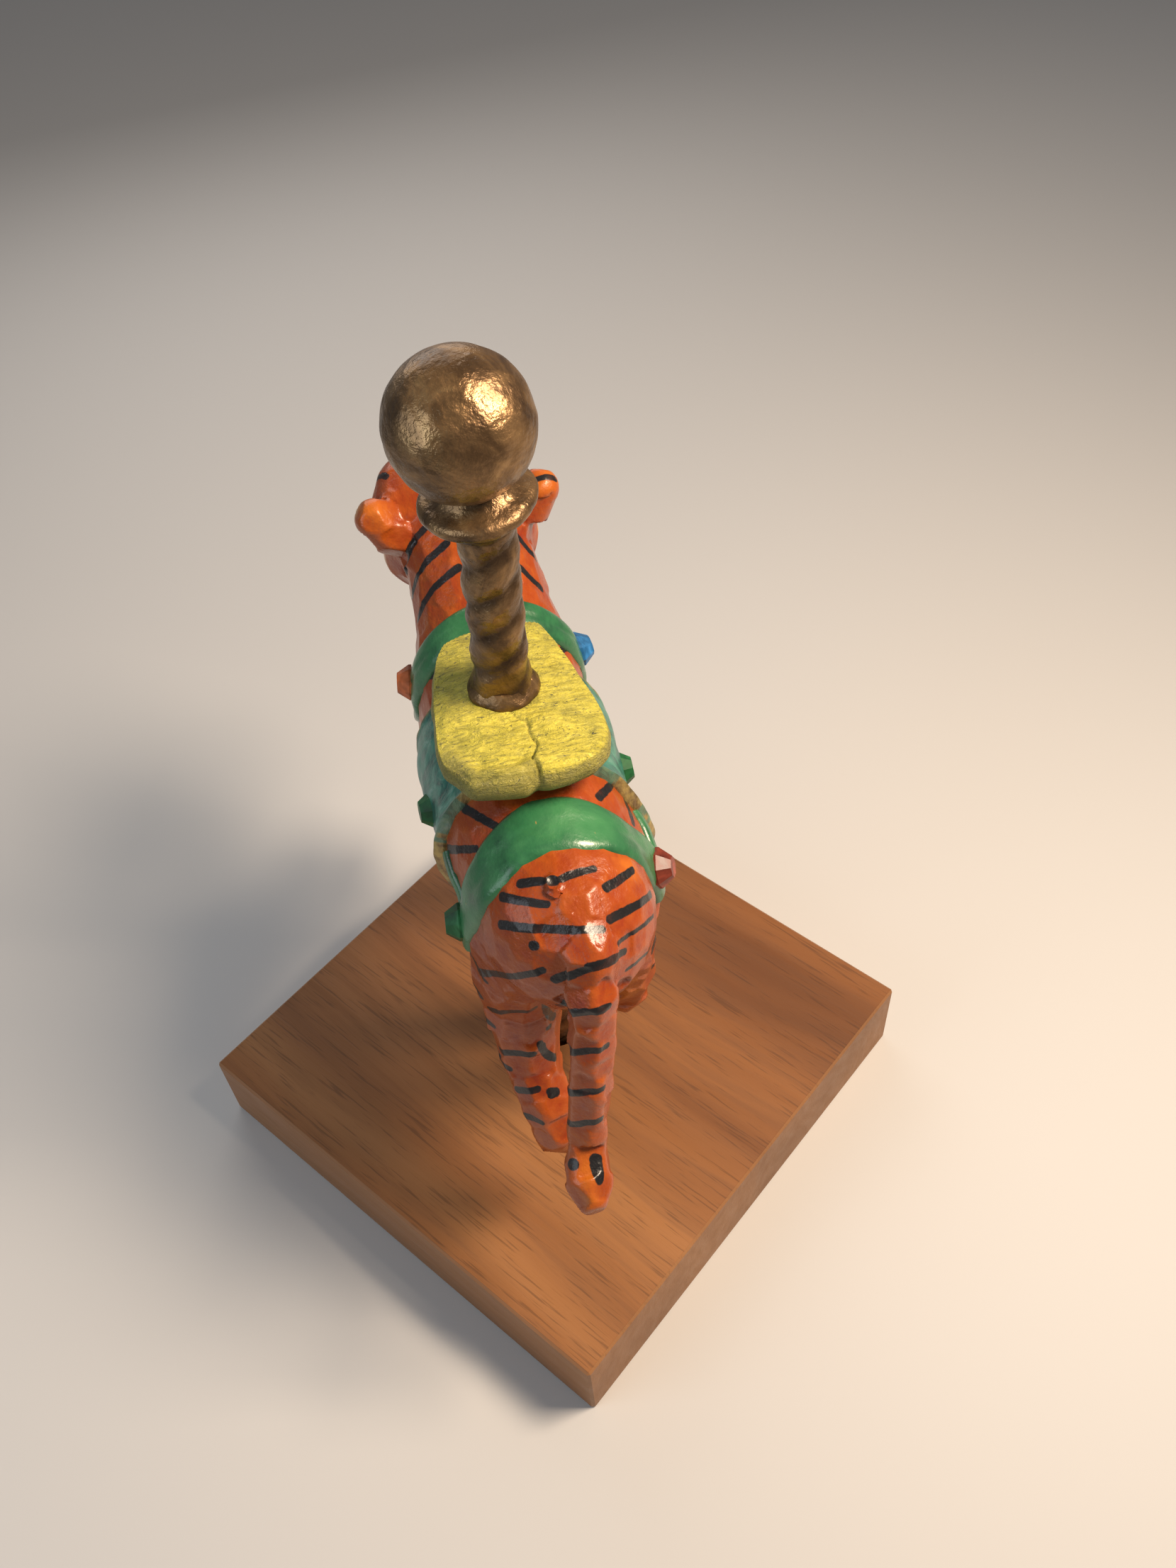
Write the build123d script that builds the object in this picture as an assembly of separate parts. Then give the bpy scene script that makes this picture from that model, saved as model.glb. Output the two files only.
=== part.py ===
from build123d import *
from math import cos, radians, sin
import os

# A carved and painted carousel tiger on a spiral pole, standing on a walnut plinth.
# Millimetres. +Z is up, the tiger faces -Y, and its left side is +X.
# The origin is the middle of the plinth's underside, on the pole's axis.

# Plinth
plinth_side = 102.0
plinth_height = 19.0
plinth_turn = 37.1
plinth_arris = 0.5
socket_depth = 12.0

# Pole, collar and ball
pole_diameter = 9.5
pole_above_saddle = 28.0
spigot_diameter = 5.0
collar_diameter = 16.6
collar_height = 10.8
collar_rim_height = 7.0
collar_rim = 3.2
collar_waist_diameter = 9.0
collar_cup_diameter = 11.5
ball_diameter = 20.6
ball_seat_sink = 1.6
spigot_in_ball = 9.0
foot_ring_diameter = 13.0
foot_ring_height = 2.6

# Clearances: the slack round a peg and round the pole, and the film of glue under a glued-on piece
peg_gap = 0.1
pole_gap = 0.15
glue_film = 0.1

# Body: the height of its middle line, and its cross-sections from rump to neck.
# Each section is (y, rise above the middle line, half width, half height, lean in degrees).
body_axis_height = 98.5
body_sections = [
    (42.5, -1.0, 5.0, 6.0, 0.0),
    (38.0, -1.2, 10.2, 11.2, 0.0),
    (28.0, -1.0, 14.4, 14.6, 0.0),
    (14.0, -0.5, 15.8, 16.0, 0.0),
    (0.0, 0.0, 16.2, 17.5, 0.0),
    (-12.0, 1.0, 16.2, 19.0, 6.0),
    (-22.0, 3.0, 15.8, 18.5, 17.0),
    (-30.0, 9.5, 13.5, 15.0, 30.0),
    (-38.0, 16.0, 12.2, 11.0, 42.0),
]

# Head: ellipsoids as (x, y, rise, radius x, radius y, radius z). Those off the middle come in pairs.
skull = (0.0, -46.0, 20.5, 14.5, 13.5, 11.5)
muzzle = (0.0, -57.0, 15.5, 8.5, 6.5, 6.8)
cheek = (8.8, -47.5, 14.5, 6.4, 6.5, 6.5)
ear_root = (12.5, -41.0, 25.5)
ear_tip = (16.6, -41.0, 30.0)
ear_radii = (4.6, 4.4, 2.2)

# Limbs: each station is (x, y, rise, radius), from inside the body to the paw.
foreleg_reach = [
    (8.0, -24.0, -8.0, 6.6),
    (8.6, -28.0, -17.0, 6.4),
    (9.0, -34.0, -27.0, 5.4),
    (9.2, -42.0, -35.0, 4.5),
    (9.0, -48.0, -42.5, 4.3),
    (9.0, -52.5, -46.5, 4.5),
    (9.0, -57.0, -46.8, 2.4),
]
foreleg_tuck = [
    (-9.0, -22.0, -8.0, 7.0),
    (-10.0, -25.0, -17.0, 6.8),
    (-10.8, -28.0, -27.0, 5.6),
    (-11.0, -27.0, -36.5, 4.6),
    (-11.0, -22.0, -43.5, 4.3),
    (-10.8, -21.5, -49.5, 4.5),
    (-10.6, -23.5, -53.2, 2.4),
]
hindleg_stretch = [
    (6.6, 24.0, -6.0, 7.4),
    (7.4, 24.5, -17.0, 6.9),
    (8.0, 26.0, -28.0, 5.8),
    (8.2, 30.5, -37.0, 4.8),
    (7.0, 36.0, -43.0, 4.1),
    (6.0, 38.4, -48.0, 4.0),
    (5.6, 38.8, -52.0, 2.2),
]
hindleg_forward = [
    (-7.2, 21.0, -6.0, 7.6),
    (-9.2, 19.0, -17.0, 7.0),
    (-11.3, 17.5, -28.0, 5.8),
    (-12.2, 16.5, -38.0, 4.8),
    (-12.0, 15.5, -46.5, 4.0),
    (-12.0, 12.0, -51.0, 3.8),
    (-12.0, 8.5, -52.6, 2.2),
]
tail_stations = [
    (-2.6, 34.0, 8.0, 3.8),
    (-2.2, 39.5, 5.0, 3.6),
    (-1.4, 43.5, -1.0, 3.4),
    (-0.4, 45.5, -10.0, 3.2),
    (0.8, 48.0, -19.0, 3.0),
    (2.6, 50.2, -28.0, 2.9),
    (3.6, 52.8, -33.5, 3.2),
    (3.9, 56.4, -35.3, 3.2),
    (4.0, 59.6, -36.4, 1.7),
]

# Pegs that hold the carved pieces together
leg_peg_diameter = 4.0
leg_peg_length = 16.0
tail_peg_diameter = 3.0
tail_peg_length = 10.0
neck_peg_diameter = 5.0
neck_peg_length = 18.0
peg_share = 0.9

# Saddle, blanket and straps
saddle_outline = [
    (-8.6, -14.5),
    (-12.2, -2.0),
    (-13.6, 10.0),
    (-12.4, 19.0),
    (12.4, 19.0),
    (13.6, 10.0),
    (12.2, -2.0),
    (8.6, -14.5),
]
saddle_corner = 3.0
saddle_bow = 2.5
saddle_thickness = 4.9
saddle_edge = 0.9
blanket_thickness = 1.4
blanket_front = -9.5
blanket_back = 13.0
blanket_drop = 9.0
blanket_corner = 4.0
strap_thickness = 0.7
breast_strap_width = 6.6
breast_strap_y = -22.0
breast_strap_lean = 17.0
girth_strap_width = 5.6
girth_strap_y = 3.0
rump_strap_width = 9.0
rump_strap_y = 22.0
strap_chip = 10.0

# Faceted stones, one on each side of each strap. Each place is (y, rise).
gem_across = 6.6
gem_height = 3.0
gem_girdle = 0.5
gem_table = 3.4
gem_sides = 8
gem_bed = 1.5
gem_places = {
    "breast": (-23.6, 5.5),
    "girth": (3.0, 1.5),
    "rump": (22.0, -2.0),
}

outline_points = 8
side_names = {"left": 1, "right": -1}


def smooth_ring(centre, normal, side, half_side, half_up):
    """A closed smooth wire, an ellipse about centre, square to normal."""
    plane = Plane(origin=centre, x_dir=side, z_dir=normal)
    turns = [2 * 3.141592653589793 * step / outline_points for step in range(outline_points)]
    points = [plane.from_local_coords((half_side * cos(t), half_up * sin(t), 0)) for t in turns]
    return Wire([Edge.make_spline(points, periodic=True)])


def body_loft(grow):
    """The trunk and neck, with every section grown outwards by grow."""
    rings = []
    for y, rise, half_width, half_height, lean in body_sections:
        normal = (0, -cos(radians(lean)), sin(radians(lean)))
        centre = (0, y, body_axis_height + rise)
        rings.append(smooth_ring(centre, normal, (1, 0, 0), half_width + grow, half_height + grow))
    return Solid.make_loft(rings)


def half_width_at(y, rise):
    """Half the trunk's width at a place on its flank."""
    ordered = sorted(body_sections)
    for low, high in zip(ordered, ordered[1:]):
        if low[0] <= y <= high[0]:
            share = (y - low[0]) / (high[0] - low[0])
            middle, width, height = [low[i] + share * (high[i] - low[i]) for i in (1, 2, 3)]
            return width * (1 - ((rise - middle) / height) ** 2) ** 0.5
    return 0.0


def raised(point):
    """A station's place in the part's frame."""
    return Vector(point[0], point[1], body_axis_height + point[2])


def limb(stations):
    """A tapering limb that follows its stations and closes in a small flat end."""
    rings = []
    for index, station in enumerate(stations):
        before = raised(stations[max(index - 1, 0)])
        after = raised(stations[min(index + 1, len(stations) - 1)])
        along = (after - before).normalized()
        side = (Vector(1, 0, 0) - along * along.X).normalized()
        rings.append(smooth_ring(raised(station), along, side, station[3], station[3]))
    return Solid.make_loft(rings)


def ellipsoid(x, y, rise, radius_x, radius_y, radius_z, grow):
    """An ellipsoid centred on a place given above the body's middle line, grown outwards by grow."""
    ball = scale(Sphere(1), by=(radius_x + grow, radius_y + grow, radius_z + grow))
    return Pos(x, y, body_axis_height + rise) * ball


def rod(start, direction, diameter, length):
    """A round rod from start along direction."""
    return Plane(origin=start, z_dir=direction) * Cylinder(diameter / 2, length, align=MIN_Z)


def socket(start, direction, diameter, length):
    """The hole that a peg is glued into."""
    along = Vector(direction).normalized()
    return rod(Vector(start) - along * peg_gap, direction, diameter + 2 * peg_gap, length + 2 * peg_gap)


def pole_bore(low, high):
    """The hole that the pole passes through, between two heights."""
    return Pos(0, 0, low) * Cylinder(pole_diameter / 2 + pole_gap, high - low, align=MIN_Z)


def make_plinth():
    """The square walnut block, with a blind hole for the pole."""
    block = Box(plinth_side, plinth_side, plinth_height, align=MIN_Z)
    block = chamfer(block.edges(), plinth_arris)
    hole = pole_bore(plinth_height - socket_depth, plinth_height + 1)
    return Rot(0, 0, plinth_turn) * (block - hole)


def make_pole():
    """The pole, from the bottom of its socket to the top of its spigot."""
    shaft = Pos(0, 0, pole_bottom) * Cylinder(pole_diameter / 2, pole_top - pole_bottom, align=MIN_Z)
    spigot_length = collar_height - ball_seat_sink + spigot_in_ball
    spigot = Pos(0, 0, pole_top) * Cylinder(spigot_diameter / 2, spigot_length, align=MIN_Z)
    return shaft + spigot


def spigot_bore():
    """The hole through the collar and into the ball."""
    length = collar_height - ball_seat_sink + spigot_in_ball + 2 * peg_gap
    return Pos(0, 0, pole_top - peg_gap) * Cylinder(spigot_diameter / 2 + peg_gap, length, align=MIN_Z)


def make_collar():
    """The turned collar: a rim over a hollow neck, a waist, and a cup for the ball."""
    rim_z = collar_rim_height
    with BuildPart() as collar:
        with BuildSketch(Plane.XZ):
            with BuildLine():
                Line((0, 0), (pole_diameter / 2, 0))
                Line((pole_diameter / 2, 0), (collar_diameter / 2, rim_z - collar_rim / 2))
                ThreePointArc(
                    (collar_diameter / 2, rim_z - collar_rim / 2),
                    (collar_diameter / 2 + collar_rim / 4, rim_z),
                    (collar_diameter / 2, rim_z + collar_rim / 2),
                )
                Line((collar_diameter / 2, rim_z + collar_rim / 2), (collar_waist_diameter / 2, collar_height - 1.6))
                Line((collar_waist_diameter / 2, collar_height - 1.6), (collar_cup_diameter / 2, collar_height))
                Line((collar_cup_diameter / 2, collar_height), (0, collar_height))
                Line((0, collar_height), (0, 0))
            make_face()
        revolve(axis=Axis.Z)
    placed = Pos(0, 0, pole_top) * collar.part
    seat = Pos(0, 0, ball_height) * Sphere(ball_diameter / 2 + glue_film)
    return placed - seat - spigot_bore()


def make_ball():
    """The ball on top, bored for the spigot."""
    return Pos(0, 0, ball_height) * Sphere(ball_diameter / 2) - spigot_bore()


def make_foot_ring():
    """The gilded fillet of filler where the pole enters the saddle."""
    outer = foot_ring_diameter / 2
    inner = pole_diameter / 2 + glue_film
    with BuildPart() as ring:
        with BuildSketch(Plane.XZ):
            with BuildLine():
                Line((inner, 0), (outer, 0))
                Line((outer, 0), (outer, 0.6))
                ThreePointArc((outer, 0.6), (inner + 0.7, 1.1), (inner + 0.3, foot_ring_height))
                Line((inner + 0.3, foot_ring_height), (inner, foot_ring_height))
                Line((inner, foot_ring_height), (inner, 0))
            make_face()
        revolve(axis=Axis.Z)
    return Pos(0, 0, saddle_top + glue_film) * ring.part


def peg_run(stations, share, length):
    """A peg's start and direction: it lies across a limb's seam, along the limb's first run."""
    first, second = raised(stations[0]), raised(stations[1])
    along = (second - first).normalized()
    return first + (second - first) * share - along * (length / 2), along


def head_blank(grow):
    """The skull, muzzle and cheeks, before they are cut to sit on the neck."""
    pieces = ellipsoid(*skull, grow) + ellipsoid(*muzzle, grow)
    for side in side_names.values():
        pieces = pieces + ellipsoid(side * cheek[0], *cheek[1:], grow)
    return pieces


def ear_blank(side):
    """One ear, from inside the skull to its rounded tip."""
    root = Vector(side * ear_root[0], ear_root[1], body_axis_height + ear_root[2])
    tip = Vector(side * ear_tip[0], ear_tip[1], body_axis_height + ear_tip[2])
    along = (tip - root).normalized()
    rings = []
    for share, radius in zip((0.0, 0.6, 1.0), ear_radii):
        centre = root + (tip - root) * share
        rings.append(smooth_ring(centre, along, (0, 1, 0), radius, radius))
    return Solid.make_loft(rings)


def make_saddle():
    """The saddle: a flat board with a bowed back edge, hollowed to sit on the blanket."""
    corners = [Vector(x, y) for x, y in saddle_outline]
    edges = [Edge.make_line(a, b) for a, b in zip(corners, corners[1:])]
    back = Edge.make_three_point_arc(corners[3], Vector(0, corners[3].Y + saddle_bow), corners[4])
    edges[3] = back
    edges.append(Edge.make_line(corners[-1], corners[0]))
    face = Face(Wire(edges))
    face = fillet(face.vertices().filter_by(lambda v: abs(abs(v.X) - abs(corners[3].X)) < 0.01
                                            or abs(v.Y - corners[0].Y) < 0.01), saddle_corner)
    board = Pos(0, 0, saddle_top - saddle_thickness) * extrude(face, saddle_thickness)
    board = fillet(board.faces().sort_by(Axis.Z)[-1].edges(), saddle_edge)
    board = board - body_loft(blanket_thickness + 2 * glue_film)
    return board - pole_bore(saddle_top - saddle_thickness - 1, saddle_top + 1)


def blanket_prism(grow):
    """The blanket's outline seen from the side, drawn out across the body and grown by grow."""
    low = body_axis_height - blanket_drop
    reach = 60.0
    middle_y = (blanket_front + blanket_back) / 2
    plan = RectangleRounded(blanket_back - blanket_front + 2 * grow, reach + 2 * grow, blanket_corner)
    return Plane.YZ.offset(-reach / 2) * Pos(middle_y, low + reach / 2) * extrude(plan, reach)


def skin_over(bed, cutter, thickness):
    """A skin of even thickness on the part of the bed's surface that lies inside the cutter."""
    return (body_loft(glue_film + thickness) & cutter) - bed


def strap_slab(y, lean, width):
    """The flat slice that a strap fills, leaning back at the top."""
    normal = (0, -cos(radians(lean)), sin(radians(lean)))
    plane = Plane(origin=(0, y, body_axis_height + body_rise_at(y)), x_dir=(1, 0, 0), z_dir=normal)
    return plane * Box(80, 80, width)


def make_strap(bed, slab, cutters):
    """A strap round the body, stopped where other pieces stand on the body."""
    band = skin_over(bed, slab, strap_thickness)
    for cutter in cutters:
        band = band - cutter
    return Compound([solid for solid in band.solids() if solid.volume > strap_chip])


def body_rise_at(y):
    """The height of the trunk's own middle above the body's middle line."""
    ordered = sorted(body_sections)
    for low, high in zip(ordered, ordered[1:]):
        if low[0] <= y <= high[0]:
            return low[1] + (y - low[0]) / (high[0] - low[0]) * (high[1] - low[1])
    return 0.0


def make_gem(strap_name, side, under, cutters):
    """A faceted stone, its back bedded on a skin as thick as under."""
    y, rise = gem_places[strap_name]
    flank = half_width_at(y, rise) + under
    crown = gem_height - gem_girdle
    base = extrude(RegularPolygon(gem_across / 2, gem_sides), gem_bed + gem_girdle)
    top_face = RegularPolygon(gem_table / 2, gem_sides)
    middle_face = Pos(0, 0, gem_bed + gem_girdle) * RegularPolygon(gem_across / 2, gem_sides)
    crown_solid = loft([middle_face, Pos(0, 0, gem_bed + gem_girdle + crown) * top_face])
    stone = base + crown_solid
    plane = Plane(
        origin=(side * (flank - gem_bed), y, body_axis_height + rise),
        x_dir=(0, 1, 0),
        z_dir=(side, 0, 0),
    )
    stone = plane * stone - body_loft(under + 2 * glue_film)
    for cutter in cutters:
        stone = stone - cutter
    return stone


def main_piece(shape):
    """The largest solid of a shape, so that a cut leaves no chips."""
    return max(shape.solids(), key=lambda solid: solid.volume)


MIN_Z = (Align.CENTER, Align.CENTER, Align.MIN)

body_top_at_pole = body_axis_height + 17.5
saddle_top = body_top_at_pole + blanket_thickness + saddle_thickness - 0.3
pole_bottom = plinth_height - socket_depth + peg_gap
pole_top = saddle_top + pole_above_saddle
ball_height = pole_top + collar_height - ball_seat_sink + ball_diameter / 2

trunk = body_loft(0)
bed = body_loft(glue_film)
parts = {}
parts["base_plinth"] = make_plinth()
parts["pole"] = make_pole()
parts["finial_collar"] = make_collar()
parts["finial_ball"] = make_ball()
parts["pole_foot_ring"] = make_foot_ring()

limb_stations = {
    "foreleg_left": foreleg_reach,
    "foreleg_right": foreleg_tuck,
    "hindleg_left": hindleg_stretch,
    "hindleg_right": hindleg_forward,
    "tail": tail_stations,
}
peg_sizes = {name: (leg_peg_diameter, leg_peg_length) for name in limb_stations}
peg_sizes["tail"] = (tail_peg_diameter, tail_peg_length)
blanks = {name: limb(stations) for name, stations in limb_stations.items()}
whole_bore = pole_bore(plinth_height, saddle_top)
torso = trunk - whole_bore
for name, stations in limb_stations.items():
    diameter, length = peg_sizes[name]
    start, along = peg_run(stations, peg_share, length)
    hole = socket(start, along, diameter, length)
    parts[name] = main_piece(blanks[name] - bed) - hole
    parts[name + "_peg"] = rod(start, along, diameter, length)
    torso = torso - hole

neck_y, neck_rise, neck_width, neck_height, neck_lean = body_sections[-1]
neck_along = Vector(0, -cos(radians(neck_lean)), sin(radians(neck_lean)))
neck_start = Vector(0, neck_y, body_axis_height + neck_rise) - neck_along * (neck_peg_length / 2)
neck_hole = socket(neck_start, neck_along, neck_peg_diameter, neck_peg_length)
parts["neck_peg"] = rod(neck_start, neck_along, neck_peg_diameter, neck_peg_length)
parts["head"] = head_blank(0) - bed - neck_hole
parts["torso"] = torso - neck_hole
for side_name, side in side_names.items():
    parts["ear_" + side_name] = main_piece(ear_blank(side) - head_blank(glue_film))

blanket = skin_over(bed, blanket_prism(0), blanket_thickness)
parts["saddle_blanket"] = blanket - whole_bore
parts["saddle"] = make_saddle()

leg_blanks = [blanks[name] for name in limb_stations if name != "tail"]
strap_slabs = {
    "breast": strap_slab(breast_strap_y, breast_strap_lean, breast_strap_width),
    "girth": strap_slab(girth_strap_y, 0, girth_strap_width),
    "rump": strap_slab(rump_strap_y, 0, rump_strap_width),
}
beds_under_gems = {"breast": strap_thickness, "girth": blanket_thickness, "rump": strap_thickness}
strap_stops = leg_blanks + [blanket_prism(glue_film), whole_bore]
for name, slab in strap_slabs.items():
    parts[name + "_strap"] = make_strap(bed, slab, strap_stops)
    for side_name, side in side_names.items():
        parts[name + "_gem_" + side_name] = make_gem(name, side, beds_under_gems[name], leg_blanks)

os.makedirs("parts", exist_ok=True)
for name, shape in parts.items():
    export_step(shape, "parts/" + name + ".step")
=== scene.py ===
"""A carved and painted carousel tiger on a spiral pole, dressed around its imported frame.

Sizes in the classes are in millimetres in the frame's own axes: +Z is up, the tiger faces -Y
and its left side is +X. Meshes are written in metres.
"""

from __future__ import annotations

import logging
import math
from dataclasses import dataclass, field
from enum import Enum

import bpy
import numpy as np
from mathutils import Matrix, Vector
from mathutils.kdtree import KDTree


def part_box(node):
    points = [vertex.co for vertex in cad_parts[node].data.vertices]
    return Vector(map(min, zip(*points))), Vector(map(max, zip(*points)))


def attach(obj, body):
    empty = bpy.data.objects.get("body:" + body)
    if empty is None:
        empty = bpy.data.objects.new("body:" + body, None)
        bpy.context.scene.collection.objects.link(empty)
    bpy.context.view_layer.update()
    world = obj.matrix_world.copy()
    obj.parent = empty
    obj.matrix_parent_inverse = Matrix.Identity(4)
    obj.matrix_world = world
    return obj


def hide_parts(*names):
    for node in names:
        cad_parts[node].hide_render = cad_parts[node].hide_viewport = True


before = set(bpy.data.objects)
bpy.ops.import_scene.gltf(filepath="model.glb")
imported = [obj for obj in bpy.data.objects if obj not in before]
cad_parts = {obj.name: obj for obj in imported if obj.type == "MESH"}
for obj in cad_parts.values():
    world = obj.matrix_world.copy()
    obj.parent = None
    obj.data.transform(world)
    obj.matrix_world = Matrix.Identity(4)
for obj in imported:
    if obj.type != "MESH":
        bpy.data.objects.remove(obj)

LOG = logging.getLogger("carousel_tiger")
MM = 0.001
BODY = "root"
Point = tuple[float, float, float]


class Side(Enum):
    """The tiger's own left and right, as the sign of X."""

    LEFT = 1
    RIGHT = -1


class Group(Enum):
    """The carved pieces that the animal is glued up from."""

    TORSO = "torso"
    HEAD = "head"
    EAR_LEFT = "ear_left"
    EAR_RIGHT = "ear_right"
    FORELEG_LEFT = "foreleg_left"
    FORELEG_RIGHT = "foreleg_right"
    HINDLEG_LEFT = "hindleg_left"
    HINDLEG_RIGHT = "hindleg_right"
    TAIL = "tail"


def box_mm(node: str) -> tuple[np.ndarray, np.ndarray]:
    """A frame node's lowest and highest corners in millimetres.

    Args:
        node: The frame node's name.

    Returns:
        The two corners.
    """
    low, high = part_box(node)
    return np.array(low) / MM, np.array(high) / MM


def noise_at(points: np.ndarray, size: float, seed: int) -> np.ndarray:
    """Smooth value noise between -1 and 1 at any points.

    Args:
        points: Places, one row each, in millimetres.
        size: The width of one lump, in millimetres.
        seed: Which noise it is.

    Returns:
        One number for each point.
    """
    scaled = points / size
    cell = np.floor(scaled).astype(np.int64)
    part = scaled - cell
    part = part * part * (3 - 2 * part)
    total = np.zeros(len(points))
    for corner in np.ndindex(2, 2, 2):
        key = cell + np.array(corner)
        mixed = (key[:, 0] * 73856093) ^ (key[:, 1] * 19349663) ^ (key[:, 2] * 83492791) ^ (seed * 2654435761)
        mixed = (mixed ^ (mixed >> 13)) * 1274126177 & 0x7FFFFFFF
        value = (mixed % 65536) / 32767.5 - 1
        weight = np.prod(np.where(np.array(corner) == 1, part, 1 - part), axis=1)
        total += value * weight
    return total


def smooth_min(a: np.ndarray, b: np.ndarray, blend: float) -> np.ndarray:
    """The smaller of two distance fields, with a fillet of the given size between them.

    Args:
        a: One field.
        b: The other field.
        blend: The fillet's size.

    Returns:
        The joined field.
    """
    share = np.clip(0.5 + 0.5 * (b - a) / blend, 0, 1)
    return b * (1 - share) + a * share - blend * share * (1 - share)


def line_length(guide: np.ndarray) -> np.ndarray:
    """How far along a line each of its corners is.

    Args:
        guide: The corners, one row each.

    Returns:
        One length for each corner, from 0.
    """
    return np.concatenate([[0], np.cumsum(np.linalg.norm(np.diff(guide, axis=0), axis=1))])


def resample(guide: np.ndarray, ticks: np.ndarray) -> np.ndarray:
    """Places at given lengths along a line.

    Args:
        guide: The line's corners, one row each.
        ticks: The lengths.

    Returns:
        The places, one row each.
    """
    length = line_length(guide)
    return np.stack([np.interp(ticks, length, column) for column in guide.T], axis=1)


def ring_faces(rings: int, count: int, low_middle: int, top_middle: int) -> list[list[int]]:
    """The faces of a skin of stacked rings with a fan of triangles at each end.

    Args:
        rings: How many rings there are, from the bottom up.
        count: How many vertices each has.
        low_middle: The vertex in the middle of the bottom.
        top_middle: The vertex in the middle of the top.

    Returns:
        The faces.
    """
    faces = []
    last = (rings - 1) * count
    for spoke in range(count):
        after = (spoke + 1) % count
        for here in range(0, last, count):
            there = here + count
            faces.append([here + spoke, here + after, there + after, there + spoke])
        faces += [[after, spoke, low_middle], [last + spoke, last + after, top_middle]]
    return faces


@dataclass(frozen=True)
class Lump:
    """One rounded lump of the carving: an ellipsoid, or a tapering rod between two places."""

    group: Group
    start: Point
    radii: Point
    end: Point | None = None
    end_radius: float = 0.0
    blend: float = 3.0
    dig: bool = False

    def reach(self) -> tuple[np.ndarray, np.ndarray]:
        """The box outside which the lump changes nothing.

        Returns:
            Its lowest and highest corners.
        """
        margin = self.blend + 3.0
        if self.end is None:
            radii = np.array(self.radii)
            return np.array(self.start) - radii - margin, np.array(self.start) + radii + margin
        ends = np.array([self.start, self.end])
        radius = max(self.radii[0], self.end_radius) + margin
        return ends.min(0) - radius, ends.max(0) + radius

    def distance(self, points: np.ndarray) -> np.ndarray:
        """How far points are outside the lump.

        Args:
            points: Places in the last axis, in millimetres.

        Returns:
            The distance, negative inside.
        """
        if self.end is None:
            away = (points - np.array(self.start)) / np.array(self.radii)
            first = np.sqrt((away**2).sum(-1)) + 1e-9
            second = np.sqrt(((away / np.array(self.radii)) ** 2).sum(-1)) + 1e-9
            return first * (first - 1) / second
        start, along = np.array(self.start), np.array(self.end) - np.array(self.start)
        share = np.clip(((points - start) @ along) / (along @ along), 0, 1)
        near = start + share[..., None] * along
        return np.sqrt(((points - near) ** 2).sum(-1)) - (
            self.radii[0] + share * (self.end_radius - self.radii[0])
        )


def limb_lumps(group: Group, stations: list[tuple[float, float, float, float]], blend: float) -> list[Lump]:
    """A chain of tapering rods along a limb.

    Args:
        group: The carved piece that the limb is.
        stations: Places and radii (x, y, z, radius) from the body outwards.
        blend: The fillet where the rods meet.

    Returns:
        The lumps.
    """
    return [
        Lump(group, first[:3], (first[3],) * 3, last[:3], last[3], blend if number < 2 else 0.8)
        for number, (first, last) in enumerate(zip(stations, stations[1:]))
    ]


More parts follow.
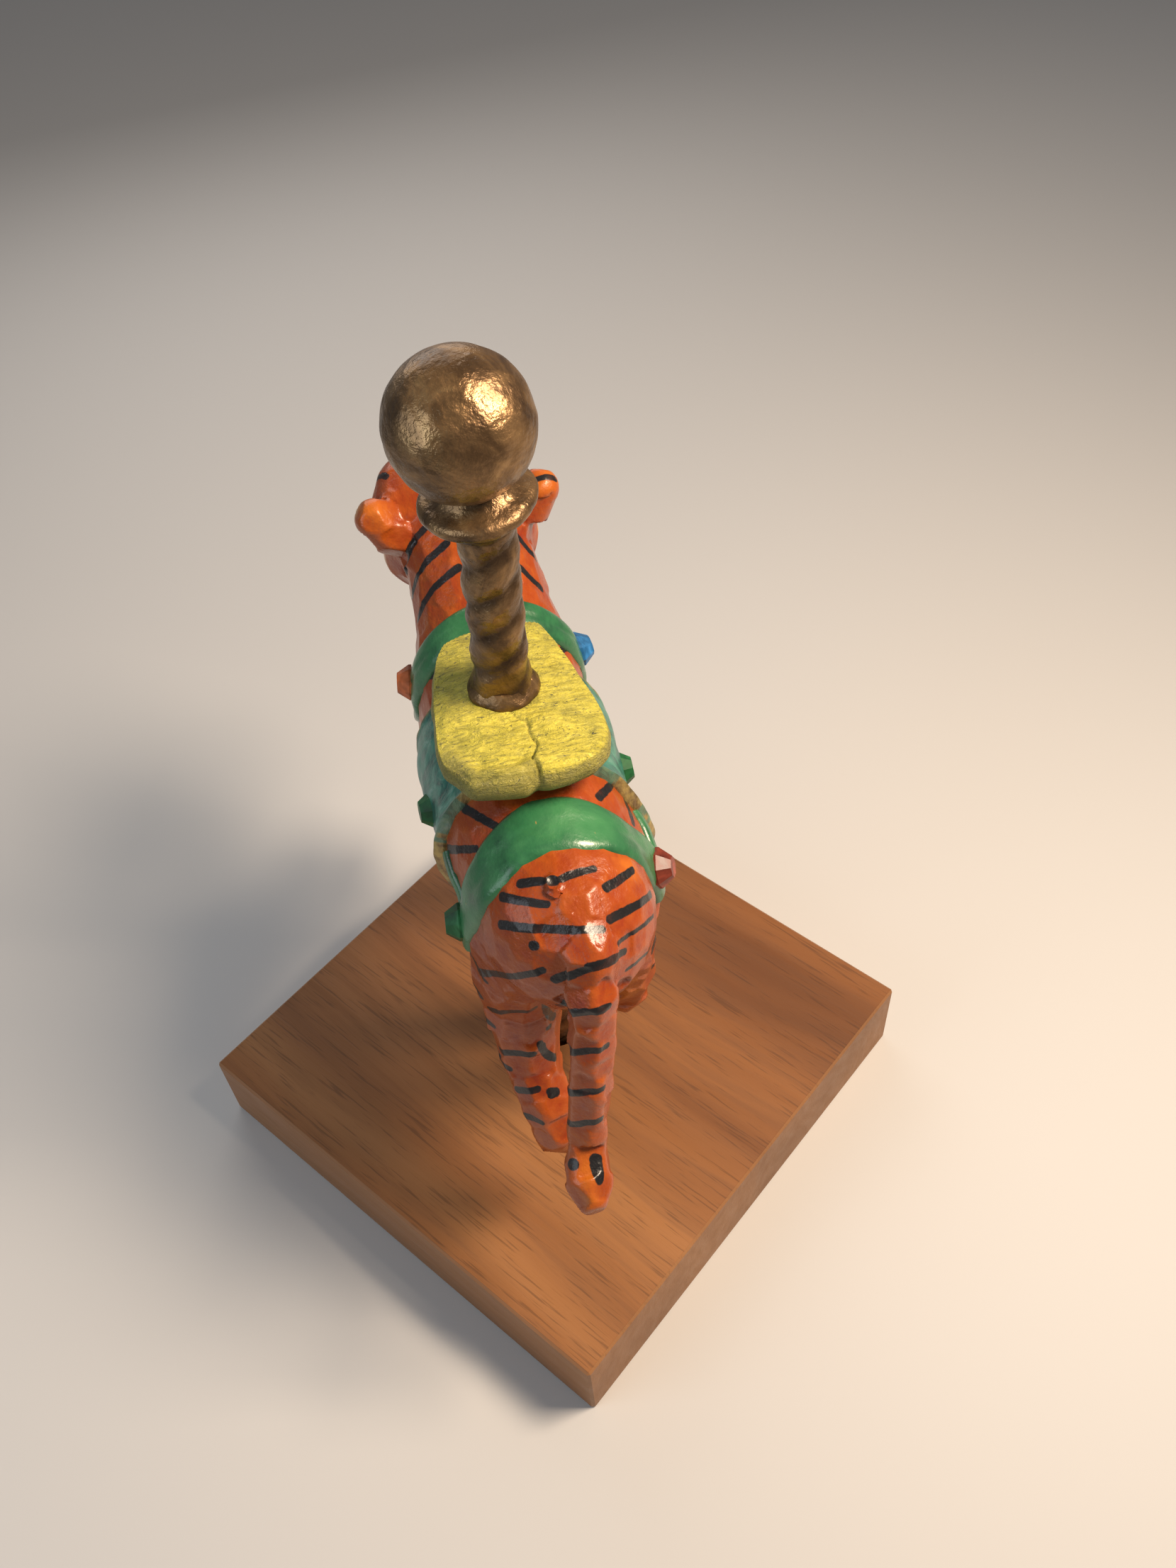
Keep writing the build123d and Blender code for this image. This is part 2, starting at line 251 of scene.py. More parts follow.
@dataclass
class Carving:
    """The animal as one distance field, and the mesh that is cut from it."""

    lumps: list[Lump]
    step: float = 0.42
    facet_gap: float = 4.2
    facet_depth: float = 0.55
    places: np.ndarray = field(default=None, init=False)
    normals: np.ndarray = field(default=None, init=False)
    quads: np.ndarray = field(default=None, init=False)
    owners: np.ndarray = field(default=None, init=False)
    lift: np.ndarray = field(default=None, init=False)

    def distance(self, points: np.ndarray) -> np.ndarray:
        """The whole animal's distance field.

        Args:
            points: Places, one row each.

        Returns:
            One distance for each point.
        """
        total = np.full(len(points), 50.0)
        for lump in self.lumps:
            low, high = lump.reach()
            near = np.all((points > low) & (points < high), axis=1)
            if near.any():
                total[near] = self._joined(total[near], lump.distance(points[near]), lump)
        return total

    @staticmethod
    def _joined(total: np.ndarray, added: np.ndarray, lump: Lump) -> np.ndarray:
        """The field with one more lump added to it or dug out of it.

        Args:
            total: The field so far.
            added: The lump's own field.
            lump: The lump.

        Returns:
            The new field.
        """
        if lump.dig:
            return -smooth_min(-total, added, lump.blend)
        return smooth_min(total, added, lump.blend)

    def slope(self, points: np.ndarray) -> np.ndarray:
        """The outward direction of the field.

        Args:
            points: Places, one row each.

        Returns:
            Unit vectors, one row each.
        """
        reach = 0.15
        columns = []
        for axis in range(3):
            shift = np.zeros(3)
            shift[axis] = reach
            columns.append(self.distance(points + shift) - self.distance(points - shift))
        slope = np.stack(columns, axis=1)
        return slope / (np.linalg.norm(slope, axis=1, keepdims=True) + 1e-9)

    def snap(self, points: np.ndarray, lift: float = 0.0, rounds: int = 5) -> np.ndarray:
        """Moves points onto the surface, or onto a surface a little outside it.

        Args:
            points: Places, one row each.
            lift: How far outside the surface they end up.
            rounds: How many steps they take.

        Returns:
            The moved places.
        """
        moved = np.array(points, float)
        for _ in range(rounds):
            moved -= self.slope(moved) * (self.distance(moved) - lift)[:, None]
        return moved

    def carve(self) -> None:
        """Cuts the surface out of the field as quads and works out which group owns each."""
        low = np.min([lump.reach()[0] for lump in self.lumps if not lump.dig], axis=0)
        high = np.max([lump.reach()[1] for lump in self.lumps if not lump.dig], axis=0)
        axes = [np.arange(low[i], high[i], self.step) for i in range(3)]
        grid = np.full([len(axis) for axis in axes], 50.0, np.float32)
        for lump in self.lumps:
            near_low, near_high = lump.reach()
            cut = tuple(
                slice(*np.searchsorted(axis, (near_low[i], near_high[i]))) for i, axis in enumerate(axes)
            )
            points = np.stack(np.meshgrid(*[axis[s] for axis, s in zip(axes, cut)], indexing="ij"), axis=-1)
            grid[cut] = self._joined(grid[cut], lump.distance(points), lump)
        self.places, self.quads = surface_net(grid, low, self.step)
        self.places = self.snap(self.places, rounds=2)
        self.normals = self.slope(self.places)
        self.owners = self._owners()

    def _owners(self) -> np.ndarray:
        """The group that each quad belongs to.

        Returns:
            One index into Group for each quad.
        """
        middles = self.places[self.quads].mean(axis=1)
        groups = list(Group)
        best = np.full((len(groups), len(middles)), 50.0)
        for lump in self.lumps:
            if not lump.dig:
                row = groups.index(lump.group)
                best[row] = np.minimum(best[row], lump.distance(middles))
        return best.argmin(axis=0)

    def facet(self) -> None:
        """Flattens the surface into soft knife cuts."""
        random = np.random.default_rng(11)
        order = random.permutation(len(self.places))
        taken: dict[tuple[int, int, int], list[int]] = {}
        centres: list[int] = []
        cells = np.floor(self.places / self.facet_gap).astype(int)
        spread = self.facet_gap * (0.75 + 0.5 * random.random(len(self.places)))
        for index in order[: len(order) // 3]:
            cell = tuple(cells[index])
            near = [
                other
                for shift in np.ndindex(3, 3, 3)
                for other in taken.get(
                    (cell[0] + shift[0] - 1, cell[1] + shift[1] - 1, cell[2] + shift[2] - 1), ()
                )
            ]
            if near:
                gaps = np.linalg.norm(self.places[near] - self.places[index], axis=1)
                facing = (self.normals[near] @ self.normals[index]) > 0.2
                if np.any((gaps < spread[index]) & facing):
                    continue
            taken.setdefault(cell, []).append(index)
            centres.append(index)
        tree = KDTree(len(centres))
        for number, index in enumerate(centres):
            tree.insert(self.places[index], number)
        tree.balance()
        count = 5
        nearest = np.zeros((len(self.places), count), int)
        gaps = np.zeros((len(self.places), count))
        for row, place in enumerate(self.places):
            found = tree.find_n(place, count)
            nearest[row] = [item[1] for item in found]
            gaps[row] = [item[2] for item in found]
        chosen = np.array(centres)[nearest]
        facing = np.einsum("nkj,nj->nk", self.normals[chosen], self.normals)
        height = np.einsum("nkj,nkj->nk", self.places[chosen] - self.places[:, None], self.normals[chosen])
        height = height / np.maximum(facing, 0.3)
        weight = np.exp(-(gaps - gaps.min(axis=1, keepdims=True)) / 0.22) * (facing > 0.35)
        move = (weight * height).sum(axis=1) / np.maximum(weight.sum(axis=1), 1e-6)
        move = np.clip(move, -self.facet_depth, self.facet_depth)
        self.lift = move
        self.places = self.places + self.normals * move[:, None] * self.softness()[:, None]

    def softness(self) -> np.ndarray:
        """How strongly each point is faceted: less on the face."""
        face = np.clip((-38.0 - self.places[:, 1]) / 8.0, 0, 1)
        return 0.9 - 0.55 * face


def surface_net(values: np.ndarray, low: np.ndarray, step: float) -> tuple[np.ndarray, np.ndarray]:
    """Turns a sampled distance field into a closed quad surface.

    Args:
        values: The field on a regular grid, negative inside.
        low: The grid's lowest corner.
        step: The grid's spacing.

    Returns:
        The places and the quads, which face outwards.
    """
    inside = values < 0
    size = np.array(values.shape)
    corners = np.array(list(np.ndindex(2, 2, 2)))
    count = np.zeros(size - 1, np.uint8)
    for corner in corners:
        cut = tuple(slice(c, c + n - 1) for c, n in zip(corner, size))
        count += inside[cut]
    mixed = (count > 0) & (count < 8)
    cells = np.argwhere(mixed)
    numbers = np.full(size - 1, -1, np.int64)
    numbers[mixed] = np.arange(len(cells))
    samples = np.stack([values[tuple((cells + corner).T)] for corner in corners], axis=1)
    total, crossings = np.zeros((len(cells), 3)), np.zeros(len(cells))
    for a in range(8):
        for b in range(a + 1, 8):
            if np.abs(corners[a] - corners[b]).sum() != 1:
                continue
            crossed = (samples[:, a] < 0) != (samples[:, b] < 0)
            share = samples[crossed, a] / (samples[crossed, a] - samples[crossed, b])
            total[crossed] += corners[a] + share[:, None] * (corners[b] - corners[a])
            crossings[crossed] += 1
    places = low + (cells + total / crossings[:, None]) * step
    quads = []
    for axis in range(3):
        second, third = (axis + 1) % 3, (axis + 2) % 3
        along = np.zeros(3, int)
        along[axis] = 1
        begin = inside[tuple(slice(0, n - 1) if i == axis else slice(1, n - 1) for i, n in enumerate(size))]
        finish = inside[tuple(slice(1, n) if i == axis else slice(1, n - 1) for i, n in enumerate(size))]
        found = np.argwhere(begin != finish)
        leaving = begin[tuple(found.T)]
        found = found + (1 - along)
        u, v = np.eye(3, dtype=int)[second], np.eye(3, dtype=int)[third]
        ring = np.stack([numbers[tuple((found - s).T)] for s in (0 * u, u, u + v, v)], axis=1)
        quads.append(np.where(leaving[:, None], ring, ring[:, ::-1]))
    return places, np.concatenate(quads)


def make_mesh(
    name: str, places: np.ndarray, faces: list | np.ndarray, sharp: float = 38.0
) -> bpy.types.Object:
    """A mesh object from places in millimetres, smooth except across sharp edges.

    Args:
        name: The piece's name.
        places: The vertices, one row each, in millimetres.
        faces: The faces as rows of vertex numbers, facing outwards.
        sharp: The angle in degrees past which an edge stays sharp.

    Returns:
        The object, at the origin.
    """
    mesh = bpy.data.meshes.new(name)
    mesh.from_pydata((np.asarray(places) * MM).tolist(), [], [list(map(int, face)) for face in faces])
    mesh.validate()
    mesh.update()
    mesh.polygons.foreach_set("use_smooth", [True] * len(mesh.polygons))
    mesh.set_sharp_from_angle(angle=math.radians(sharp))
    piece = bpy.data.objects.new(name, mesh)
    bpy.context.scene.collection.objects.link(piece)
    return piece


def put_attribute(piece: bpy.types.Object, name: str, values: np.ndarray) -> None:
    """Stores one number at each vertex of a piece.

    Args:
        piece: The piece.
        name: The attribute's name.
        values: One number for each vertex.
    """
    attribute = piece.data.attributes.new(name, "FLOAT", "POINT")
    attribute.data.foreach_set("value", np.asarray(values, np.float32))


def finish_piece(piece: bpy.types.Object, slot: str, material: bpy.types.Material, *nodes: str) -> None:
    """Dresses a piece, hangs it on the body and has it stand for frame nodes.

    Args:
        piece: The finished piece.
        slot: The record's material slot; not used.
        material: What it is made of.
        nodes: The frame nodes that it replaces.
    """
    piece.data.materials.clear()
    piece.data.materials.append(material)
    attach(piece, BODY)
    if nodes:
        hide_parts(*nodes)
    LOG.info("%s: %d faces for %s", piece.name, len(piece.data.polygons), ", ".join(nodes) or "trim")


def capped(places: np.ndarray, faces: np.ndarray) -> tuple[np.ndarray, list[list[int]], np.ndarray]:
    """A part of a surface as a closed skin: its open edges are fanned to their middles.

    Args:
        places: The whole surface's vertices.
        faces: The quads that are kept.

    Returns:
        The places, the faces, and each kept place's number in the whole surface, -1 for a new one.
    """
    used, packed = np.unique(faces, return_inverse=True)
    quads = packed.reshape(faces.shape)
    edges = np.concatenate([quads[:, [i, (i + 1) % 4]] for i in range(4)])
    keys = edges[:, 0] * len(used) + edges[:, 1]
    mirrored = edges[:, 1] * len(used) + edges[:, 0]
    rim = edges[~np.isin(keys, mirrored)]
    parent = {int(v): int(v) for v in np.unique(rim)}

    def root(vertex: int) -> int:
        """The first vertex of the loop that a vertex is on.

        Args:
            vertex: The vertex.

        Returns:
            The loop's first vertex.
        """
        while parent[vertex] != vertex:
            vertex = parent[vertex]
        return vertex

    for a, b in rim:
        parent[root(int(a))] = root(int(b))
    middles: dict[int, int] = {}
    kept = [tuple(place) for place in places[used]]
    numbers = list(used)
    skin = quads.tolist()
    loops: dict[int, list[int]] = {}
    for vertex in parent:
        loops.setdefault(root(vertex), []).append(vertex)
    for first, members in loops.items():
        middles[first] = len(kept)
        kept.append(tuple(places[used[members]].mean(axis=0)))
        numbers.append(-1)
    for a, b in rim:
        skin.append([int(b), int(a), middles[root(int(a))]])
    return np.array(kept), skin, np.array(numbers)


@dataclass(frozen=True)
class Stroke:
    """One brush stroke laid on the surface through a few places."""

    places: tuple[Point, ...]
    width: float
    end_width: float | None = None
    dab_gap: float = 0.35

    def drawn(self, carving: Carving) -> tuple[np.ndarray, np.ndarray]:
        """The stroke as closely spaced dabs on the surface.

        Args:
            carving: The surface that it lies on.

        Returns:
            The dabs' places and radii.
        """
        guide = np.array(self.places, float)
        if len(guide) == 1:
            return carving.snap(guide), np.array([self.width / 2])
        length = line_length(guide)[-1]
        count = max(4, int(length / self.dab_gap))
        bent = resample(guide, np.linspace(0, length, count))
        for _ in range(max(1, count // 6)):
            bent[1:-1] = (bent[:-2] + bent[1:-1] * 2 + bent[2:]) / 4
        last = self.width if self.end_width is None else self.end_width
        return carving.snap(bent), np.linspace(self.width, last, count) / 2


@dataclass(frozen=True)
class Bar:
    """A straight stroke across the rump, the tail or a thigh, laid on from behind and above at 45 degrees."""

    across: float
    up: float
    reach: float
    slope: float = 0.0

    def stroke(self, carving: Carving, width: float, end_width: float) -> Stroke:
        """The bar where it meets the animal.

        Args:
            carving: The surface that it lies on.
            width: Its width at the left end.
            end_width: Its width at the right end.

        Returns:
            The stroke.
        """
        slant, start, steps, longest = math.sqrt(0.5), 125.0, 90, 1.5
        slide = np.linspace(self.reach, -self.reach, 9)
        up = self.up + slide * self.slope
        depth = np.full(len(slide), start)
        for _ in range(steps):
            places = np.stack([self.across + slide, slant * (depth - up), slant * (depth + up)], axis=1)
            depth = depth - 0.9 * np.clip(carving.distance(places), -longest, longest)
        held = places[np.abs(carving.distance(places)) < 0.5]
        return Stroke(tuple(map(tuple, held)), width, end_width)


def stroke_distance(points: np.ndarray, strokes: list[Stroke], carving: Carving) -> np.ndarray:
    """How far each point is outside the nearest stroke's edge.

    Args:
        points: Places, one row each.
        strokes: The strokes.
        carving: The surface that they lie on.

    Returns:
        Distances, negative inside a stroke and 3 at most.
    """
    nearest = np.full(len(points), 3.0)
    for stroke in strokes:
        dabs, radii = stroke.drawn(carving)
        low, high = dabs.min(0) - 4, dabs.max(0) + 4
        rows = np.flatnonzero(np.all((points > low) & (points < high), axis=1))
        for dab, radius in zip(dabs, radii):
            away = np.linalg.norm(points[rows] - dab, axis=1) - radius
            nearest[rows] = np.minimum(nearest[rows], away)
    return nearest


class Graph:
    """A short way to build a node tree: every node is made, set and linked in one call."""

    def __init__(self, tree: bpy.types.NodeTree) -> None:
        """Keeps the tree that the nodes go in."""
        self.tree = tree

    def node(self, kind: str, settings: dict | None = None, **inputs: object) -> bpy.types.Node:
        """Adds a node.

        Args:
            kind: The node's type.
            settings: Its own properties.
            inputs: Its sockets' values or the sockets that feed them; "_" stands for a space, and
                a name like in0 means the first socket.

        Returns:
            The node.
        """
        made = self.tree.nodes.new(kind)
        for key, value in (settings or {}).items():
            setattr(made, key, value)
        for key, value in inputs.items():
            counted = key[:2] == "in" and key[2:].isdigit()
            socket = made.inputs[int(key[2:])] if counted else self._input(made, key)
            if isinstance(value, bpy.types.NodeSocket):
                self.tree.links.new(value, socket)
            else:
                socket.default_value = value
        return made

    @staticmethod
    def _input(made: bpy.types.Node, key: str) -> bpy.types.NodeSocket:
        """The input socket in use whose name matches a keyword.

        Args:
            made: The node.
            key: The name, with "_" for a space.

        Returns:
            The socket.
        """
        found = [s for s in made.inputs if s.name.replace(" ", "_").lower() == key.lower() and s.enabled]
        return found[0]

    def math(
        self, operation: str, first: object, second: object = 0.0, third: object = 0.0
    ) -> bpy.types.NodeSocket:
        """A math node's result.

        Args:
            operation: The operation's name.
            first: A number or socket.
            second: A number or socket.
            third: A number or socket.

        Returns:
            The output socket.
        """
        return self.node(
            "ShaderNodeMath", {"operation": operation}, in0=first, in1=second, in2=third
        ).outputs[0]

    def ramp(
        self, factor: bpy.types.NodeSocket, *stops: tuple[float, tuple[float, ...]]
    ) -> bpy.types.NodeSocket:
        """A colour ramp's result.

        Args:
            factor: What it reads.
            stops: Places and colours.

        Returns:
            The colour socket.
        """
        made = self.node("ShaderNodeValToRGB", None, Fac=factor)
        elements = made.color_ramp.elements
        while len(elements) < len(stops):
            elements.new(0.5)
        for element, (place, colour) in zip(elements, stops):
            element.position = place
            element.color = (*colour, 1.0) if len(colour) == 3 else colour
        return made.outputs["Color"]

    def mix(self, factor: object, first: object, second: object, blend: str = "MIX") -> bpy.types.NodeSocket:
        """Two colours mixed.

        Args:
            factor: The second colour's share.
            first: A colour or socket.
            second: A colour or socket.
            blend: How they mix.

        Returns:
            The colour socket.
        """
        made = self.node("ShaderNodeMix", {"data_type": "RGBA", "blend_type": blend})
        for index, value in ((0, factor), (6, first), (7, second)):
            if isinstance(value, bpy.types.NodeSocket):
                self.tree.links.new(value, made.inputs[index])
            else:
                made.inputs[index].default_value = (*value, 1.0) if isinstance(value, tuple) else value
        return made.outputs[2]


class Finish:
    """A surface finish: a principled shader whose colour, roughness and bump come from nodes."""

    name = "finish"

    def build(self) -> bpy.types.Material:
        """Makes the material.

        Returns:
            The material, with its nodes linked.
        """
        material = bpy.data.materials.new(self.name)
        material.use_nodes = True
        tree = material.node_tree
        self.graph = Graph(tree)
        self.shader = tree.nodes["Principled BSDF"]
        self.place = self.graph.node("ShaderNodeTexCoord").outputs["Object"]
        self.dress()
        return material

    def dress(self) -> None:
        """Sets the shader; each finish has its own."""

    def noise(self, scale: float, detail: float = 3.0, rough: float = 0.5, stretch: Point | None = None,
              turn: float = 0.0, warp: float = 0.0, place: bpy.types.NodeSocket | None = None
              ) -> bpy.types.NodeSocket:
        """Noise on the piece's own axes.

        Args:
            scale: Lumps per metre.
            detail: How many finer layers it has.
            rough: How strong they are.
            stretch: Scale along each axis.
            turn: A turn about Z, in radians.
            warp: How much it distorts itself.
            place: Coordinates to read in place of the piece's own.

        Returns:
            The noise's value socket.
        """
        vector = place or self.place
        if stretch:
            vector = self.graph.node(
                "ShaderNodeMapping", None, Vector=vector, Scale=stretch, Rotation=(0.0, 0.0, turn)
            ).outputs[0]
        return self.graph.node(
            "ShaderNodeTexNoise", None, Vector=vector, Scale=scale, Detail=detail, Roughness=rough,
            Distortion=warp
        ).outputs[0]

    def attribute(self, name: str) -> bpy.types.NodeSocket:
        """A number stored on the piece."""
        return self.graph.node("ShaderNodeAttribute", {"attribute_name": name}).outputs["Fac"]

    def bump(self, *layers: tuple[bpy.types.NodeSocket, float, float]) -> None:
        """Stacks bumps onto the shader.

        Args:
            layers: Each one's height socket, strength and depth in metres.
        """
        normal = None
        for height, strength, depth in layers:
            made = self.graph.node("ShaderNodeBump", None, Height=height, Strength=strength, Distance=depth)
            if normal is not None:
                self.graph.tree.links.new(normal, made.inputs["Normal"])
            normal = made.outputs[0]
        self.graph.tree.links.new(normal, self.shader.inputs["Normal"])

    def shine(self, source: bpy.types.NodeSocket, least: float, most: float) -> None:
        """Links a roughness that follows a noise.

        Args:
            source: The noise.
            least: The roughness where the noise is low.
            most: The roughness where it is high.
        """
        self.feed("Roughness", self.graph.node(
            "ShaderNodeMapRange", None, Value=source, From_Min=0.3, From_Max=0.7, To_Min=least, To_Max=most,
        ).outputs[0])

    def flecks(self, base: bpy.types.NodeSocket, source: bpy.types.NodeSocket, full: float, none: float,
               cover: float, colour: Point) -> bpy.types.NodeSocket:
        """Lays flecks of one colour where a noise is low.

        Args:
            base: The colour under them.
            source: The noise.
            full: The noise's value under which they cover as much as they do.
            none: Its value above which there are none.
            cover: How much they cover.
            colour: Their colour.

        Returns:
            The flecked colour.
        """
        spread = self.graph.ramp(source, (full, (cover,) * 3), (none, (0.0,) * 3))
        return self.graph.mix(spread, base, colour)

    def feed(self, socket: str, value: object) -> None:
        """Links or sets one of the shader's sockets.

        Args:
            socket: The socket's name.
            value: A socket to link, or a number or colour to set.
        """
        if isinstance(value, bpy.types.NodeSocket):
            self.graph.tree.links.new(value, self.shader.inputs[socket])
        else:
            self.shader.inputs[socket].default_value = (*value, 1.0) if isinstance(value, tuple) else value


class TigerPaint(Finish):
    """Orange paint with black strokes and pale patches, painted shade in its hollows and painted highlight on
    its ridges, under gloss varnish.
    """

    name = "tiger_paint"
    orange = (0.325, 0.050, 0.005)
    red = (0.22, 0.017, 0.005)
    amber = (0.50, 0.128, 0.010)
    cream = (0.83, 0.55, 0.25)
    ink = (0.012, 0.011, 0.012)
    white = (0.82, 0.78, 0.66)
    # Painted highlight: the lighter orange laid on the facets' ridges.
    ridge = (0.48, 0.11, 0.018)

    def edge(self, name: str, soft: float, rough: float) -> bpy.types.NodeSocket:
        """How fully a painted mark covers: 1 inside its edge, 0 outside.

        Args:
            name: The attribute that holds the distance from the mark's edge, in millimetres.
            soft: The edge's width in millimetres.
            rough: How far bristles push the edge about, in millimetres.

        Returns:
            The cover.
        """
        ragged = self.graph.math("MULTIPLY_ADD", self.noise(900.0, 3.0), rough * 2, -rough)
        away = self.graph.math("ADD", self.attribute(name), ragged)
        return self.graph.node(
            "ShaderNodeMapRange", {"interpolation_type": "SMOOTHSTEP"}, Value=away,
            From_Min=soft, From_Max=-soft, To_Min=0.0, To_Max=1.0,
        ).outputs[0]

    def dress(self) -> None:
        """Lays the ground coats, the painted highlight on the ridges, the painted shade in the hollows, the
        patches, the strokes and the varnish.
        """
        graph = self.graph
        broad = self.noise(95.0, 4.0, 0.6, warp=0.6)
        ground = graph.ramp(
            broad, (0.30, self.red), (0.47, self.orange), (0.60, self.orange), (0.78, self.amber)
        )
        brushed = self.noise(520.0, 4.0, 0.65, (1.0, 0.35, 1.0))
        ground = graph.mix(0.35, ground, graph.ramp(brushed, (0.3, self.red), (0.7, self.amber)))
        # Painted highlight: the ridges that the facets raise get a lighter orange.
        ground = graph.mix(graph.math("MULTIPLY", self.attribute("ridge"), 0.45), ground, self.ridge)
        # Painted shade: the ground turns dark red-brown where the hollow attribute says nearby carving hems
        # the surface in.
        ground = graph.mix(
            graph.math("MULTIPLY", self.attribute("hollow"), 0.7), ground, (0.20, 0.022, 0.008)
        )
        ground = graph.mix(self.edge("pale", 1.6, 0.9), ground, self.cream)
        ground = graph.mix(self.edge("amber", 2.2, 1.4), ground, self.amber)
        thin = graph.math("MULTIPLY_ADD", self.noise(300.0, 3.0), 0.6, 0.74)
        cover = graph.math("MULTIPLY", self.edge("ink", 0.10, 0.16), graph.math("MINIMUM", thin, 1.0))
        painted = graph.mix(self.edge("white", 0.12, 0.06), ground, self.white)
        painted = graph.mix(cover, painted, self.ink)
        self.feed("Base Color", painted)
        self.shine(self.noise(260.0, 3.0), 0.24, 0.44)
        self.feed("Specular IOR Level", 0.38)
        self.feed("Coat Weight", 0.22)
        self.feed("Coat Roughness", 0.12)
        self.bump((self.noise(330.0, 4.0, 0.6), 0.42, 0.0007), (self.noise(1500.0, 2.0), 0.24, 0.0003))


class AntiqueGold(Finish):
    """Lumpy metallic paint, with painted shade in the pole's grooves and on the lower parts of the collar and
    the foot ring.
    """

    name = "antique_gold"

    def dress(self) -> None:
        """Lays the dark ground, the gold, the smudges and the painted shade."""
        graph = self.graph
        smudge = self.noise(120.0, 5.0, 0.65, warp=1.2)
        gold = graph.ramp(
            smudge, (0.28, (0.050, 0.030, 0.018)), (0.45, (0.150, 0.088, 0.042)),
            (0.60, (0.270, 0.162, 0.074)),
            (0.76, (0.430, 0.280, 0.130)),
        )
        # Painted shade: the groove attribute darkens the gold almost to black.
        groove = graph.math("MULTIPLY", self.attribute("groove"), 0.7)
        gold = graph.mix(groove, gold, (0.040, 0.024, 0.014))
        self.feed("Base Color", gold)
        self.feed("Metallic", 0.72)
        self.shine(self.noise(210.0, 4.0), 0.23, 0.46)
        self.bump((self.noise(170.0, 5.0, 0.65), 0.50, 0.0011), (self.noise(800.0, 3.0), 0.35, 0.0005))


class SaddlePaint(Finish):
    """Thick yellow paint over coarse fibres, with olive specks."""

    name = "saddle_yellow"

    def dress(self) -> None:
        """Lays the yellow, the olive wash, the specks, a dark line along the split and the painted shade on
        the sides and along the rear rim.
        """
        graph = self.graph
        wash = self.noise(80.0, 4.0, 0.6, warp=0.8)
        yellow = graph.ramp(
            wash, (0.30, (0.33, 0.30, 0.050)), (0.50, (0.56, 0.49, 0.062)), (0.72, (0.70, 0.60, 0.080))
        )
        fibre = self.noise(1100.0, 4.0, 0.7, (0.30, 1.0, 1.0), 0.35, 1.5)
        yellow = self.flecks(yellow, fibre, 0.37, 0.52, 0.62, (0.21, 0.20, 0.050))
        specks = self.noise(1500.0, 2.0, 0.5, (0.5, 1.0, 1.0), -0.5, 2.0)
        yellow = self.flecks(yellow, specks, 0.31, 0.37, 0.85, (0.07, 0.075, 0.045))
        # The crease attribute lays a dark line along the split and painted shade on the seat's sides and
        # along its rear rim.
        yellow = graph.mix(graph.math("MULTIPLY", self.attribute("crease"), 0.75), yellow, (0.16, 0.15, 0.06))
        self.feed("Base Color", yellow)
        self.shine(fibre, 0.62, 0.40)
        self.feed("Specular IOR Level", 0.4)
        self.bump((fibre, 0.75, 0.0009), (self.noise(380.0, 4.0, 0.6), 0.5, 0.0010))


class StrapPaint(Finish):
    """Green gloss paint with flecks of what lies under it."""

    name = "strap_green"
    light = (0.052, 0.215, 0.082)
    mid = (0.026, 0.142, 0.055)
    dark = (0.010, 0.062, 0.028)

    def dress(self) -> None:
        """Lays the green, its brush marks and a few chips."""
        graph = self.graph
        coat = self.noise(110.0, 4.0, 0.6, warp=0.5)
        green = graph.ramp(coat, (0.28, self.dark), (0.46, self.mid), (0.70, self.light))
        chips = self.noise(620.0, 2.0, 0.5, (1.0, 0.4, 1.0))
        green = graph.mix(
            graph.ramp(chips, (0.735, (0.0,) * 3), (0.76, (0.8,) * 3)), green, (0.50, 0.24, 0.06)
        )
        self.feed("Base Color", green)
        self.shine(self.noise(300.0, 3.0), 0.24, 0.42)
        self.feed("Coat Weight", 0.3)
        self.feed("Coat Roughness", 0.2)
        self.bump((self.noise(420.0, 4.0, 0.6), 0.30, 0.0005), (self.noise(1900.0, 2.0), 0.14, 0.0003))


class BlanketPaint(StrapPaint):
    """The blanket's mottled teal, with its gold hem."""

    name = "blanket_paint"

    def dress(self) -> None:
        """Lays the mottled ground, whose palest patches are partly painted reflection, and gilds the hem."""
        graph = self.graph
        mottle = self.noise(210.0, 5.0, 0.65, (1.0, 1.0, 0.45), 0.0, 1.4)
        # The palest, whitish stop is partly painted reflection on the glossy green and partly the paint's own
        # mottle.
        teal = graph.ramp(
            mottle, (0.30, (0.008, 0.050, 0.042)), (0.45, (0.020, 0.130, 0.100)),
            (0.58, (0.050, 0.225, 0.160)),
            (0.74, (0.23, 0.36, 0.32)),
        )
        hem = graph.math("MULTIPLY", self.attribute("hem"), 0.9)
        gilt = graph.ramp(self.noise(700.0, 3.0), (0.35, (0.20, 0.11, 0.035)), (0.62, (0.50, 0.34, 0.10)))
        self.feed("Base Color", graph.mix(hem, teal, gilt))
        self.feed("Metallic", graph.math("MULTIPLY", hem, 0.45))
        self.shine(mottle, 0.26, 0.50)
        self.feed("Coat Weight", 0.25)
        self.feed("Coat Roughness", 0.25)
        self.bump((mottle, 0.45, 0.0008), (self.noise(1300.0, 3.0), 0.25, 0.0003))


